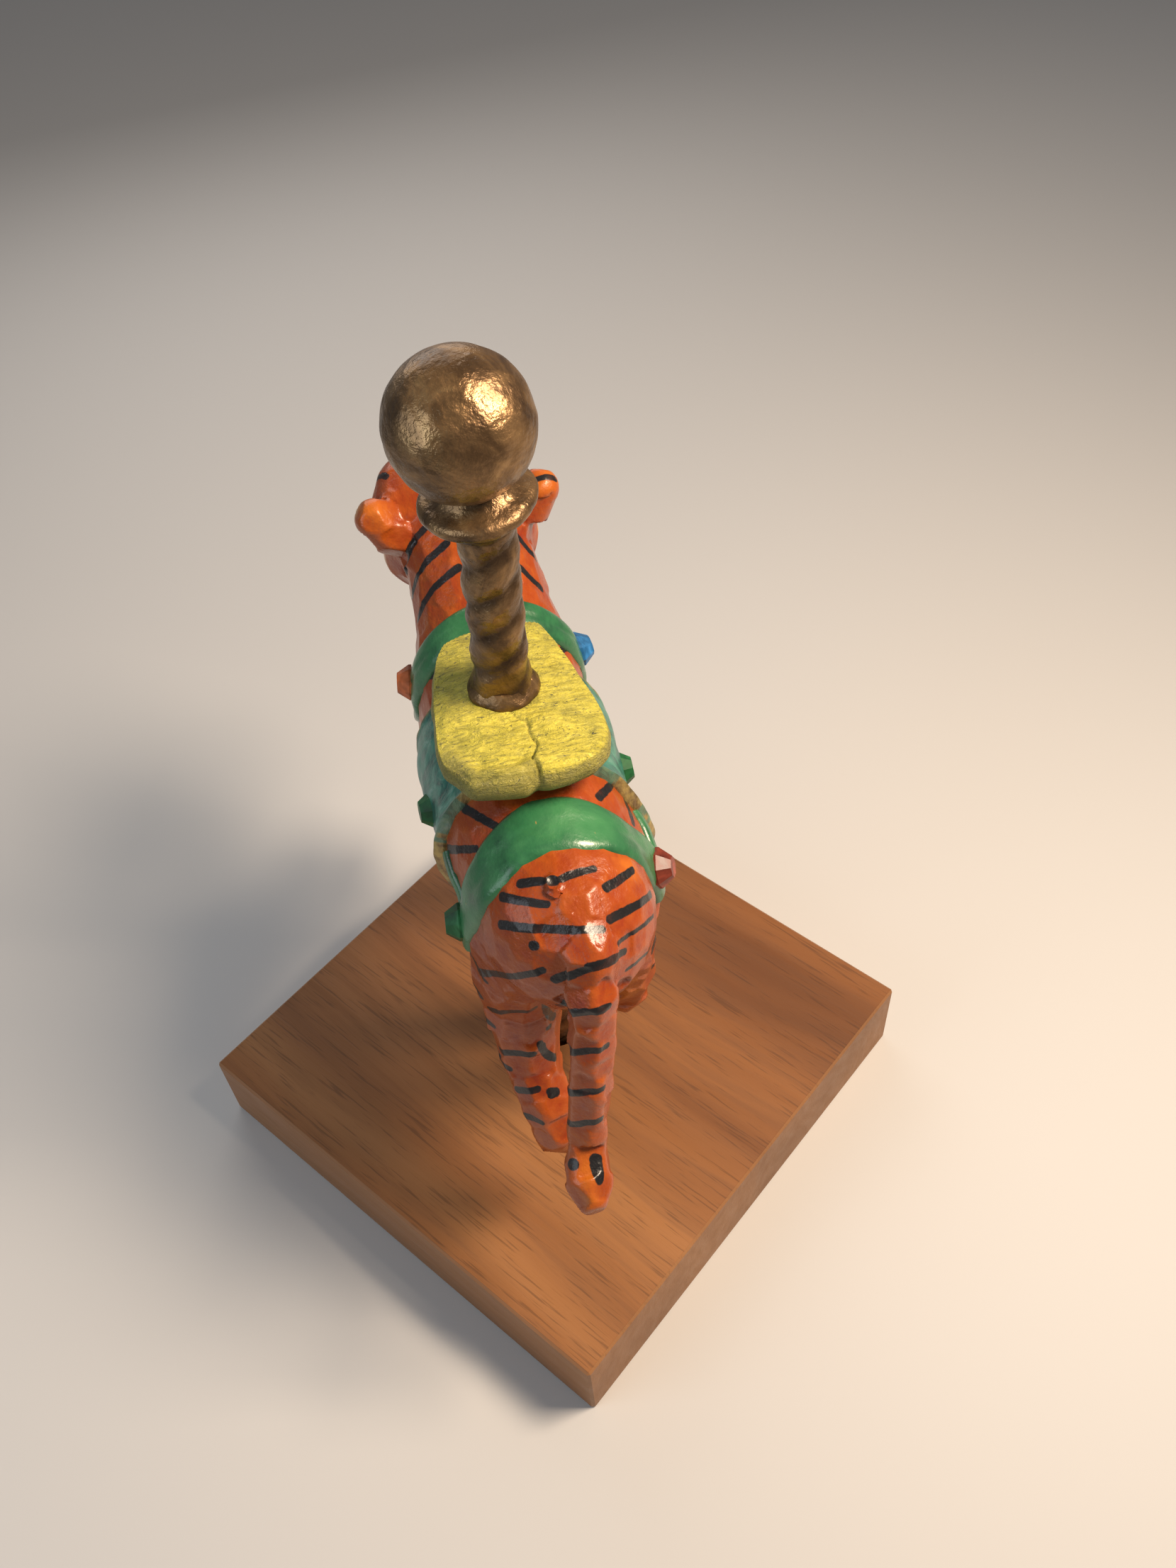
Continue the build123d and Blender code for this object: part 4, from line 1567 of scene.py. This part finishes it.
@dataclass(frozen=True)
class Blanket:
    """The painted saddle blanket: a thick skin over the back and both flanks."""

    front: float = -9.2
    back: float = 11.5
    hem_left: float = 89.0
    hem_right: float = 91.0
    thickness: float = 1.5
    wrap: float = 118.0
    guide_radius: float = 20.0
    guide_height: float = 98.0
    rows: int = 66
    columns: int = 190

    def around(self, angle: np.ndarray, y: np.ndarray) -> np.ndarray:
        """Places on a guide cylinder round the animal's middle line.

        Args:
            angle: How far round each is from the top, in radians.
            y: Its Y.

        Returns:
            The places, in the last axis.
        """
        radius = self.guide_radius
        return np.stack([np.sin(angle) * radius, y, self.guide_height + np.cos(angle) * radius], axis=-1)

    def build(self, carving: Carving, paint: bpy.types.Material) -> None:
        """Lays the blanket on the surface with wrinkles and a thick hem.

        Args:
            carving: The animal's surface.
            paint: The blanket's paint.
        """
        turn = np.linspace(-1, 1, self.columns)
        along = np.linspace(0, 1, self.rows)
        angle = turn * math.radians(self.wrap)
        fit = carving.snap(self.around(angle, np.zeros_like(angle)), rounds=9)
        bottom = np.where(turn > 0, self.hem_left, self.hem_right)
        keep = fit[:, 2] > bottom
        first, last = np.flatnonzero(keep)[0], np.flatnonzero(keep)[-1]
        angles = np.linspace(angle[first], angle[last], self.columns)
        share, place = np.meshgrid(along, angles, indexing="ij")
        drop = np.abs(place) / angles.max()
        flare = 1.0 + 1.6 * drop**2
        y = self.front - flare + share * (self.back - self.front + 1.4 * flare)
        ground = carving.snap(self.around(place, y).reshape(-1, 3), rounds=9)
        normal = carving.slope(ground)
        fold = np.sin(ground[:, 1] * 0.62 + noise_at(ground, 9.0, 21) * 2.4) * np.clip(
            drop.ravel() - 0.35, 0, 1
        )
        lumps = noise_at(ground, 4.2, 8) * 0.22 + noise_at(ground, 1.7, 9) * 0.10 + fold * 0.50
        edge = np.minimum(np.minimum(share, 1 - share) * 28.0, (1 - drop) * 40.0).ravel()
        roll = np.exp(-(((edge - 0.9) / 0.6) ** 2)) * 0.35
        soft = np.sqrt(np.clip(edge / 0.8, 0, 1))
        outer = ground + normal * ((self.thickness + lumps) * soft + roll)[:, None]
        inner = ground - normal * 0.4
        size = share.shape + (3,)
        places, faces = closed_strip(outer.reshape(size), inner.reshape(size), False)
        faces = [face[::-1] for face in faces]
        piece = make_mesh("saddle_blanket_skin", places, faces, 50.0)
        hem = np.exp(-((np.maximum(edge - 0.7, 0) / 0.45) ** 2)) * (
            0.25 + 0.75 * (noise_at(ground, 3.0, 13) > -0.35)
        )
        put_attribute(piece, "hem", np.concatenate([hem, hem]))
        finish_piece(piece, "blanket_paint", paint, "saddle_blanket")


@dataclass(frozen=True)
class Saddle:
    """The seat: a thick lumpy pad with rolled rear lips and a split behind the pole."""

    outline: tuple[tuple[float, float], ...] = (
        (0.3, -14.9), (5.2, -14.6), (8.6, -13.4), (10.4, -10.0), (11.4, -5.5), (12.4, 0.0), (13.0, 6.0),
        (13.3, 10.0), (13.0, 13.6), (11.2, 15.6), (9.6, 18.8), (5.4, 20.0), (1.2, 20.5), (-0.6, 19.0),
        (-1.8, 20.0), (-6.0, 19.6), (-9.8, 18.4), (-12.4, 16.2), (-13.5, 13.0), (-13.6, 9.0),
        (-13.0, 5.0), (-11.8, 0.0), (-10.6, -5.5), (-9.4, -10.0), (-8.0, -14.0), (-5.0, -14.9),
    )
    trim: float = 0.955
    shift: tuple[float, float] = (0.5, -0.2)
    underside: float = 116.6
    top: float = 122.0
    rim_drop: float = 0.9
    rings: int = 46
    spokes: int = 260

    def border(self) -> np.ndarray:
        """The outline as evenly spaced places.

        Returns:
            The places in X and Y, one row each.
        """
        guide = np.array(self.outline + self.outline[:1])
        line = resample(guide, np.linspace(0, line_length(guide)[-1], self.spokes, endpoint=False))
        line = line * self.trim + np.array(self.shift)
        for _ in range(5):
            line = (np.roll(line, 1, axis=0) + 2 * line + np.roll(line, -1, axis=0)) / 4
        return line

    def split(self, x: np.ndarray, y: np.ndarray) -> np.ndarray:
        """How far places are from the wandering split behind the pole.

        Args:
            x: Their X.
            y: Their Y.

        Returns:
            One distance for each, negative on the right of the split.
        """
        course = 0.9 - 0.11 * y + 0.8 * np.sin(y * 0.42) + 0.35 * np.sin(y * 1.3)
        away = x - course
        return np.where(y > 3.0, away, np.hypot(away, 3.0 - y))

    def height(self, x: np.ndarray, y: np.ndarray, inset: np.ndarray) -> np.ndarray:
        """The seat's upper face.

        Args:
            x: Places across.
            y: Places along.
            inset: How far inside the outline they are.

        Returns:
            Heights in millimetres.
        """
        points = np.stack([x, y, np.zeros_like(x)], axis=1)
        level = self.top - 0.028 * np.abs(x) ** 1.6 / 3 - self.rim_drop * np.exp(-inset / 2.2)
        away = self.split(x, y)
        rear = np.clip((y - 9.0) / 6.0, 0, 1)
        roll_left = np.exp(-(((inset - 1.5) / 1.2) ** 2)) * rear * (away > 0) * 0.75
        roll_right = np.exp(-(((inset - 1.4) / 1.4) ** 2)) * rear * (away <= 0) * 0.45
        trench = np.exp(-(((inset - 3.5) / 0.9) ** 2)) * rear * (away > 0) * 0.40
        open_end = 0.28 + 0.8 * np.clip((y - 15.5) / 4, 0, 1) + 0.12 * np.sin(y * 2.2)
        groove = np.exp(-((away / 0.30) ** 2)) * open_end * np.clip((y - 3.5) / 2, 0, 1)
        step = np.where(away > 0, -0.35, 0.10) * np.clip((y - 6) / 8, 0, 1)
        fibres = noise_at(points * np.array((0.45, 1.0, 1.0)), 0.9, 31) * 0.10
        lumps = noise_at(points, 4.6, 32) * 0.34 + noise_at(points, 2.1, 33) * 0.17 + fibres
        return level + roll_left + roll_right - trench - groove + step + lumps * np.clip(inset / 1.2, 0.25, 1)

    def build(self, paint: bpy.types.Material) -> None:
        """Makes the seat as one closed skin.

        Args:
            paint: The seat's paint.
        """
        border = self.border()
        centre = np.array((0.0, 1.0))
        share = 1 - np.linspace(0, 1, self.rings) ** 1.6
        rings = [centre + (border - centre) * part for part in share[:-1]]
        grid = np.stack(rings)
        flat = grid.reshape(-1, 2)
        gaps = np.full(len(flat), 99.0)
        for place in border[::2]:
            gaps = np.minimum(gaps, np.linalg.norm(flat - place, axis=1))
        height = self.height(flat[:, 0], flat[:, 1], gaps)
        upper = np.column_stack([flat, height])
        count = self.spokes
        wave = 0.45 * noise_at(np.column_stack([border, np.zeros(count)]), 3.0, 41)
        outward = border - centre
        outward /= np.linalg.norm(outward, axis=1, keepdims=True)
        bands = []
        for level, swell in ((0.86, 0.30), (0.62, 0.62), (0.34, 0.55), (0.12, 0.05), (0.0, -1.4)):
            edge = border + outward * (swell + wave * 0.5)[:, None]
            tall = height[:count]
            bands.append(np.column_stack([edge, self.underside + (tall - self.underside) * level]))
        top_middle = np.array([[centre[0], centre[1], self.top]])
        low_middle = np.array([[centre[0], centre[1], self.underside]])
        places = np.concatenate([*bands[::-1], upper, top_middle, low_middle])
        faces = ring_faces(len(bands) + len(rings), count, len(places) - 1, len(places) - 2)
        piece = make_mesh("saddle_seat", places, faces, 55.0)
        away = np.abs(self.split(places[:, 0], places[:, 1]))
        # crease: a dark line along the split, painted shade over the sides and painted shade along the rolled
        # rear-left rim.
        crease = np.clip(1.1 - away / 0.4, 0, 1) * (0.35 + 0.5 * np.clip((places[:, 1] - 14) / 5, 0, 1))
        crease[: len(bands) * count] = 0.8
        start = len(bands) * count
        rear = np.clip((places[start:-2, 1] - 9.0) / 5.0, 0, 1) * (places[start:-2, 0] > -1)
        crease[start:-2] = np.maximum(crease[start:-2], np.clip(1.25 - gaps / 2.4, 0, 1) * rear * 0.8)
        put_attribute(piece, "crease", crease)
        finish_piece(piece, "saddle_yellow", paint, "saddle")


@dataclass(frozen=True)
class Turning:
    """A gilded piece of round section with a hand-worked, lumpy skin."""

    name: str
    node: str
    profile: tuple[tuple[float, float], ...]
    lumps: float = 0.2
    segments: int = 96
    seed: int = 1
    # Height below which the gold gets painted shade; -99 for none.
    shade_below: float = -99.0
    shift: tuple[float, float] = (0.0, 0.0)
    tilt: float = 0.0
    row_gap: float = 0.45

    def build(self, paint: bpy.types.Material) -> None:
        """Turns the profile about the pole's axis and dresses it.

        Args:
            paint: The gold.
        """
        guide = np.array(self.profile)
        length = line_length(guide)[-1]
        count = max(6, int(length / self.row_gap))
        line = resample(guide, np.linspace(0, length, count))
        for _ in range(3):
            line[1:-1] = (line[:-2] + 2 * line[1:-1] + line[2:]) / 4
        turn = np.arange(self.segments) * 2 * math.pi / self.segments
        radius = np.repeat(line[:, 0], self.segments)
        tall = np.repeat(line[:, 1], self.segments)
        angle = np.tile(turn, count)
        points = np.column_stack([np.cos(angle) * radius, np.sin(angle) * radius, tall])
        push = noise_at(points, 3.6, self.seed) + 0.4 * noise_at(points, 1.5, self.seed + 7)
        radius = radius + push * self.lumps * np.clip(radius / 3, 0, 1)
        points = np.column_stack([np.cos(angle) * radius, np.sin(angle) * radius, tall])
        ends = np.array([[0, 0, line[0, 1]], [0, 0, line[-1, 1]]])
        places = np.concatenate([points, ends])
        places[:, 2] += places[:, 0] * self.tilt
        places[:, 0] += np.interp(places[:, 2], (line[0, 1], line[-1, 1]), self.shift)
        faces = ring_faces(count, self.segments, len(places) - 2, len(places) - 1)
        piece = make_mesh(self.name, places, faces, 55.0)
        # Painted shade: the gold darkens below this height.
        groove = np.clip((self.shade_below - places[:, 2]) / 1.2, 0, 1)
        put_attribute(piece, "groove", groove)
        finish_piece(piece, "antique_gold", paint, self.node)


class FieldTree:
    """A Geometry Nodes tree with named inputs, evaluated once into a plain mesh."""

    def __init__(self, name: str) -> None:
        """Starts an empty tree with a geometry input and output.

        Args:
            name: The tree's name.
        """
        self.tree = bpy.data.node_groups.new(name, "GeometryNodeTree")
        self.tree.interface.new_socket("Geometry", in_out="INPUT", socket_type="NodeSocketGeometry")
        self.tree.interface.new_socket("Geometry", in_out="OUTPUT", socket_type="NodeSocketGeometry")
        self.graph = Graph(self.tree)
        self.entry = self.tree.nodes.new("NodeGroupInput")
        self.exit = self.tree.nodes.new("NodeGroupOutput")
        self.values: dict[str, object] = {}

    def number(self, name: str, value: float) -> bpy.types.NodeSocket:
        """Adds a named input.

        Args:
            name: The input's name.
            value: Its value; a whole number makes a whole-number input.

        Returns:
            The socket that carries it.
        """
        kind = "NodeSocketInt" if isinstance(value, int) else "NodeSocketFloat"
        made = self.tree.interface.new_socket(name, in_out="INPUT", socket_type=kind)
        made.default_value = value
        self.values[made.identifier] = value
        return self.entry.outputs[name]

    def evaluate(
        self, name: str, last: bpy.types.NodeSocket, material: bpy.types.Material
    ) -> bpy.types.Object:
        """Realizes the tree on an empty mesh and keeps the result as a plain mesh.

        Args:
            name: The piece's name.
            last: The geometry socket.
            material: What the piece is made of.

        Returns:
            The piece, at the origin.
        """
        real = self.graph.node("GeometryNodeRealizeInstances", None, Geometry=last).outputs[0]
        dressed = self.graph.node("GeometryNodeSetMaterial", None, Geometry=real)
        dressed.inputs["Material"].default_value = material
        self.tree.links.new(dressed.outputs[0], self.exit.inputs[0])
        holder = bpy.data.objects.new(name, bpy.data.meshes.new(f"{name}_seed"))
        bpy.context.scene.collection.objects.link(holder)
        modifier = holder.modifiers.new(name, "NODES")
        modifier.node_group = self.tree
        for identifier, value in self.values.items():
            modifier[identifier] = value
        holder.update_tag()
        graph = bpy.context.evaluated_depsgraph_get()
        mesh = bpy.data.meshes.new_from_object(holder.evaluated_get(graph))
        holder.modifiers.clear()
        holder.data = mesh
        return holder


@dataclass(frozen=True)
class SpiralPole:
    """The barley-twist pole: two ridges that wind about a shaft."""

    radius: float = 4.25
    ridge: float = 0.46
    turn_rise: float = 13.0
    starts: int = 2
    bottom: float = 19.2
    top: float = 156.4
    flare: float = 1.1
    flare_rise: float = 1.9
    seat: float = 122.0
    lean: float = 1.3
    rows: int = 560
    segments: int = 72

    def build(self, paint: bpy.types.Material) -> None:
        """Grows the pole with Geometry Nodes and dresses it.

        Args:
            paint: The gold.
        """
        field_tree = FieldTree("spiral_pole")
        graph = field_tree.graph
        radius = field_tree.number("Radius", self.radius * MM)
        ridge = field_tree.number("Ridge height", self.ridge * MM)
        rise = field_tree.number("Rise per turn", self.turn_rise * MM)
        starts = field_tree.number("Starts", float(self.starts))
        bottom = field_tree.number("Bottom", self.bottom * MM)
        top = field_tree.number("Top", self.top * MM)
        flare = field_tree.number("Flare", self.flare * MM)
        seat = field_tree.number("Seat height", self.seat * MM)
        lean = field_tree.number("Lean at the seat", self.lean * MM)
        low = graph.node("ShaderNodeCombineXYZ", None, Z=bottom).outputs[0]
        high = graph.node("ShaderNodeCombineXYZ", None, Z=top).outputs[0]
        line = graph.node("GeometryNodeCurvePrimitiveLine", None, Start=low, End=high).outputs[0]
        line = graph.node("GeometryNodeResampleCurve", None, Curve=line, Count=self.rows).outputs[0]
        ring = graph.node(
            "GeometryNodeCurvePrimitiveCircle", None, Resolution=self.segments, Radius=0.004
        ).outputs[0]
        tube = graph.node(
            "GeometryNodeCurveToMesh", None, Curve=line, Profile_Curve=ring, Fill_Caps=True
        ).outputs[0]
        where = graph.node("GeometryNodeInputPosition").outputs[0]
        parts = graph.node("ShaderNodeSeparateXYZ", None, Vector=where)
        x, y, z = parts.outputs[0], parts.outputs[1], parts.outputs[2]
        angle = graph.math("ARCTAN2", y, x)
        wobble = graph.math(
            "MULTIPLY", graph.node("ShaderNodeTexNoise", None, Vector=where, Scale=55.0).outputs[0], 1.1
        )
        wound = graph.math("MULTIPLY", graph.math("DIVIDE", z, rise), 2 * math.pi)
        phase = graph.math(
            "ADD", graph.math("MULTIPLY", graph.math("SUBTRACT", angle, wound), starts), wobble
        )
        wave = graph.math("MULTIPLY_ADD", graph.math("COSINE", phase), 0.5, 0.5)
        fat = graph.math("POWER", wave, 0.55)
        rough = graph.node("ShaderNodeTexNoise", None, Vector=where, Scale=330.0, Detail=2.0).outputs[0]
        lump = graph.math("MULTIPLY", graph.math("SUBTRACT", rough, 0.5), 0.0009)
        lift = graph.math("MULTIPLY", graph.math("SUBTRACT", fat, 0.62), ridge)
        above = graph.math("ABSOLUTE", graph.math("SUBTRACT", z, seat))
        near = graph.math("EXPONENT", graph.math("MULTIPLY", above, -1.0 / (self.flare_rise * MM)))
        spread = graph.math("MULTIPLY", near, flare)
        total = graph.math("ADD", graph.math("ADD", radius, lift), graph.math("ADD", lump, spread))
        ahead = graph.node("ShaderNodeCombineXYZ", None, X=x, Y=y).outputs[0]
        way = graph.node("ShaderNodeVectorMath", {"operation": "NORMALIZE"}, in0=ahead).outputs[0]
        out = graph.node("ShaderNodeVectorMath", {"operation": "SCALE"}, in0=way, Scale=total).outputs[0]
        off = graph.node(
            "ShaderNodeMapRange", None, Value=z, From_Min=0.100, From_Max=0.120, To_Min=0.0, To_Max=lean
        ).outputs[0]
        back = graph.node(
            "ShaderNodeMapRange", None, Value=z, From_Min=0.120, From_Max=0.152, To_Min=1.0, To_Max=0.4
        ).outputs[0]
        rebuilt = graph.node(
            "ShaderNodeVectorMath", {"operation": "ADD"}, in0=out,
            in1=graph.node("ShaderNodeCombineXYZ", None, X=graph.math("MULTIPLY", off, back), Z=z).outputs[0],
        ).outputs[0]
        moved = graph.node("GeometryNodeSetPosition", None, Geometry=tube, Position=rebuilt).outputs[0]
        # Painted shade: the groove attribute is strongest at the bottom of the spiral grooves.
        groove = graph.math("POWER", graph.math("SUBTRACT", 1.0, wave), 2.2)
        stored = graph.node(
            "GeometryNodeStoreNamedAttribute", {"data_type": "FLOAT", "domain": "POINT"}, Name="groove"
        )
        field_tree.tree.links.new(moved, stored.inputs["Geometry"])
        field_tree.tree.links.new(groove, [s for s in stored.inputs if s.name == "Value" and s.enabled][0])
        smooth = graph.node("GeometryNodeSetShadeSmooth", None, Geometry=stored.outputs[0]).outputs[0]
        piece = field_tree.evaluate("pole_twist", smooth, paint)
        finish_piece(piece, "antique_gold", paint, "pole")


@dataclass(frozen=True)
class Stone:
    """One faceted stone: a flat table over a crown of facets and a thin girdle."""

    node: str
    slot: str
    across: float = 6.3
    height: float = 2.6
    table: float = 3.5
    girdle: float = 0.5
    sides: int = 8
    drop: float = 0.0

    def build(self, glass: bpy.types.Material, carving: Carving) -> None:
        """Cuts the stone with Geometry Nodes and sets it on the flank.

        Args:
            glass: The stone's material.
            carving: The animal's surface, which gives the way that it faces.
        """
        low, high = box_mm(self.node)
        centre = (low + high) / 2 - np.array((0, 0, self.drop))
        ground = carving.snap(centre[None])[0]
        facing = Vector(carving.slope(ground[None])[0])
        tree = FieldTree(f"cut_{self.node}")
        graph = tree.graph
        radius = tree.number("Girdle radius", self.across / 2 * MM)
        table = tree.number("Table radius", self.table / 2 * MM)
        crown = tree.number("Crown height", (self.height - self.girdle) * MM)
        girdle = tree.number("Girdle height", self.girdle * MM)
        sides = tree.number("Sides", self.sides)
        base = graph.node(
            "GeometryNodeMeshCone", {"fill_type": "NGON"}, Vertices=sides, Radius_Top=radius,
            Radius_Bottom=radius, Depth=girdle
        ).outputs[0]
        cap = graph.node(
            "GeometryNodeMeshCone", {"fill_type": "NGON"}, Vertices=sides, Radius_Top=table,
            Radius_Bottom=radius, Depth=crown
        ).outputs[0]
        lifted = graph.node("GeometryNodeTransform", None, Geometry=cap)
        graph.tree.links.new(
            graph.node("ShaderNodeCombineXYZ", None, Z=girdle).outputs[0], lifted.inputs["Translation"]
        )
        joined = graph.node("GeometryNodeJoinGeometry")
        graph.tree.links.new(base, joined.inputs[0])
        graph.tree.links.new(lifted.outputs[0], joined.inputs[0])
        piece = tree.evaluate(f"{self.node}_stone", joined.outputs[0], glass)
        turned = facing.to_track_quat("Z", "Y").to_matrix().to_4x4()
        seat = Vector(ground) + facing * 0.55
        piece.data.transform(Matrix.Translation(seat * MM) @ turned)
        finish_piece(piece, self.slot, glass, self.node)


@dataclass(frozen=True)
class Studio:
    """The floor, the camera and the soft lights."""

    camera_place: Point = (15.3, 152.9, 274.7)
    camera_forward: Point = (-0.110, -0.643, -0.758)
    camera_right: Point = (-0.972, 0.229, -0.052)
    lens: float = 31.8
    floor_size: float = 9000.0
    aim: Point = (0, 0, 95)

    def build(self) -> None:
        """Makes and stages the floor, the camera and the lights."""
        self._floor()
        self._camera()
        self._light("key", (-186, 71, 356), 110.0, 2.0, (1.0, 0.80, 0.60))
        self._light("fill", (330, 120, 260), 240.0, 0.42, (0.84, 0.92, 1.0))
        self._light("front", (40, -380, 300), 320.0, 0.45, (1.0, 0.95, 0.90))
        world = bpy.data.worlds.new("studio")
        world.use_nodes = True
        world.node_tree.nodes["Background"].inputs["Color"].default_value = (0.86, 0.89, 0.94, 1.0)
        world.node_tree.nodes["Background"].inputs["Strength"].default_value = 0.17
        bpy.context.scene.world = world
        bpy.context.scene.view_settings.view_transform = "Standard"

    def _floor(self) -> None:
        """A plain pale floor."""
        half = self.floor_size / 2
        floor = make_mesh(
            "floor", np.array([(-half, -half, 0), (half, -half, 0), (half, half, 0), (-half, half, 0)]),
            [[0, 1, 2, 3]]
        )
        material = bpy.data.materials.new("floor")
        material.use_nodes = True
        shader = material.node_tree.nodes["Principled BSDF"]
        shader.inputs["Base Color"].default_value = (0.62, 0.61, 0.60, 1.0)
        shader.inputs["Roughness"].default_value = 0.8
        floor.data.materials.append(material)

    def _camera(self) -> None:
        """The camera."""
        lens = bpy.data.cameras.new("camera")
        lens.lens, lens.sensor_width, lens.sensor_fit = self.lens, 36.0, "AUTO"
        lens.clip_start = 0.01
        camera = bpy.data.objects.new("camera", lens)
        back = -Vector(self.camera_forward).normalized()
        right = Vector(self.camera_right)
        right = (right - back * right.dot(back)).normalized()
        up = back.cross(right)
        turned = Matrix((right, up, back)).transposed().to_4x4()
        camera.matrix_world = Matrix.Translation(Vector(self.camera_place) * MM) @ turned
        bpy.context.scene.collection.objects.link(camera)
        bpy.context.scene.camera = camera

    def _light(
        self, name: str, place: Point, size: float, power: float, colour: tuple[float, float, float]
    ) -> None:
        """One square panel that faces the object.

        Args:
            name: Its name.
            place: Where it hangs.
            size: Its side.
            power: Its power in watts.
            colour: Its colour.
        """
        lamp = bpy.data.lights.new(name, "AREA")
        lamp.shape, lamp.size, lamp.energy, lamp.color = "SQUARE", size * MM, power, colour
        light = bpy.data.objects.new(name, lamp)
        light.location = Vector(place) * MM
        light.rotation_euler = (Vector(self.aim) - Vector(place)).to_track_quat("-Z", "Y").to_euler()
        bpy.context.scene.collection.objects.link(light)


BREAST_SIDE = (
    (6, -18.8, 119), (11.5, -19.3, 113.5), (14.6, -20.6, 106.5), (15.0, -23.4, 99), (13.2, -27.5, 93),
    (8.5, -32.0, 89.5),
)
RIBBONS = (
    Ribbon(
        "breast_band", "breast_strap",
        ((0, -18.5, 121), *BREAST_SIDE, (0, -35.5, 88.5), *((-x, y, z) for x, y, z in reversed(BREAST_SIDE))),
        (6.4,) * 14, True,
    ),
    Ribbon(
        "girth_band", "girth_strap",
        ((17, 2.5, 101), (17.4, 3, 95), (15.5, 3, 87), (9, 3, 82), (0, 3, 80.5), (-9, 3, 82), (-15.5, 3, 87),
         (-17.4, 3.4, 95), (-17, 3.6, 101)),
        (5.6,) * 9,
    ),
    Ribbon(
        "rump_band", "rump_strap",
        ((14.6, 22.5, 90.5), (15.4, 23.4, 95.5), (14.2, 24.6, 102), (10.5, 24.4, 108), (5.5, 22.8, 112),
         (0.8, 21.6, 113), (-5, 22.0, 112), (-10.5, 22.6, 108.5), (-15.2, 22.6, 102), (-18, 22.4, 96),
         (-18.8, 22, 90.5)),
        (6.4, 7.2, 8.0, 9.0, 9.6, 9.8, 9.6, 9.0, 8.0, 7.0, 6.4), crease=0.10,
    ),
    Ribbon(
        "flank_run_left", "", ((16.2, 12.8, 100), (16, 17, 98), (16.2, 22, 94.5)), (4.2, 4.0, 4.0),
        thickness=0.8
    ),
    Ribbon(
        "flank_run_right", "", ((-16.6, 12.8, 100), (-17, 17, 98.5), (-18.2, 22, 95.5)), (4.2, 4.0, 4.0),
        thickness=0.8
    ),
)
BALL_RADIUS, BALL_HEIGHT = 10.3, 170.0
BALL_TURNS = tuple(math.radians(degrees) for degrees in range(6, 175, 8))
TURNINGS = (
    Turning(
        "collar_rim", "finial_collar",
        ((3.9, 151.2), (4.5, 154.0), (5.8, 155.6), (7.6, 156.6), (8.5, 157.3), (8.6, 158.3), (7.9, 159.1),
         (6.2, 159.5), (5.4, 160.2), (4.6, 161.4)),
        0.24, 112, 3, 155.6, (0.5, 1.6), -0.085,
    ),
    Turning(
        "crown_ball", "finial_ball",
        tuple((BALL_RADIUS * math.sin(a), BALL_HEIGHT - BALL_RADIUS * math.cos(a)) for a in BALL_TURNS),
        0.20, 112, 5, -99.0, (2.2, 2.2),
    ),
    Turning(
        "pole_foot", "pole_foot_ring", ((4.0, 121.0), (5.9, 121.3), (5.8, 122.3), (5.1, 123.1), (4.5, 124.0)),
        0.40, 80, 9, 122.6, (1.3, 1.3),
    ),
)
STONE_COLOURS = {
    "stone_orange": (0.36, 0.085, 0.018), "stone_blue": (0.015, 0.130, 0.330),
    "stone_green": (0.008, 0.110, 0.028), "stone_red": (0.20, 0.034, 0.016),
}
STONES = (
    Stone("breast_gem_left", "stone_orange"), Stone("breast_gem_right", "stone_blue"),
    Stone("girth_gem_left", "stone_green"), Stone("girth_gem_right", "stone_green"),
    Stone("rump_gem_left", "stone_green", drop=2.6), Stone("rump_gem_right", "stone_red", across=6.8),
)
PLINTH_TURN = math.radians(37.1)
PEGS = (
    "foreleg_left_peg", "foreleg_right_peg", "hindleg_left_peg", "hindleg_right_peg", "tail_peg", "neck_peg"
)


def carry_over(node: str, material: bpy.types.Material) -> None:
    """Puts a finish on a frame node that keeps its own mesh.

    Args:
        node: The frame node's name.
        material: The finish.
    """
    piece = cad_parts[node]
    piece.data.materials.clear()
    piece.data.materials.append(material)
    LOG.info("%s keeps its mesh", node)


def main() -> None:
    """Builds every piece in order."""
    logging.basicConfig(level=logging.INFO, format="%(name)s %(message)s")
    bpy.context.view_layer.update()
    Studio().build()
    carving = Tiger().build(TigerPaint().build())
    straps = StrapPaint().build()
    for ribbon in RIBBONS:
        ribbon.build(carving, straps)
    Blanket().build(carving, BlanketPaint().build())
    Saddle().build(SaddlePaint().build())
    gold = AntiqueGold().build()
    SpiralPole().build(gold)
    for turning in TURNINGS:
        turning.build(gold)
    colours = {slot: StoneGlass(slot, colour).build() for slot, colour in STONE_COLOURS.items()}
    for stone in STONES:
        stone.build(colours[stone.slot], carving)
    underside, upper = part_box("base_plinth")
    carry_over("base_plinth", Walnut(PLINTH_TURN, upper[2] - underside[2]).build())
    dowel = BareWood().build()
    for peg in PEGS:
        carry_over(peg, dowel)


if __name__ == "__main__":
    main()
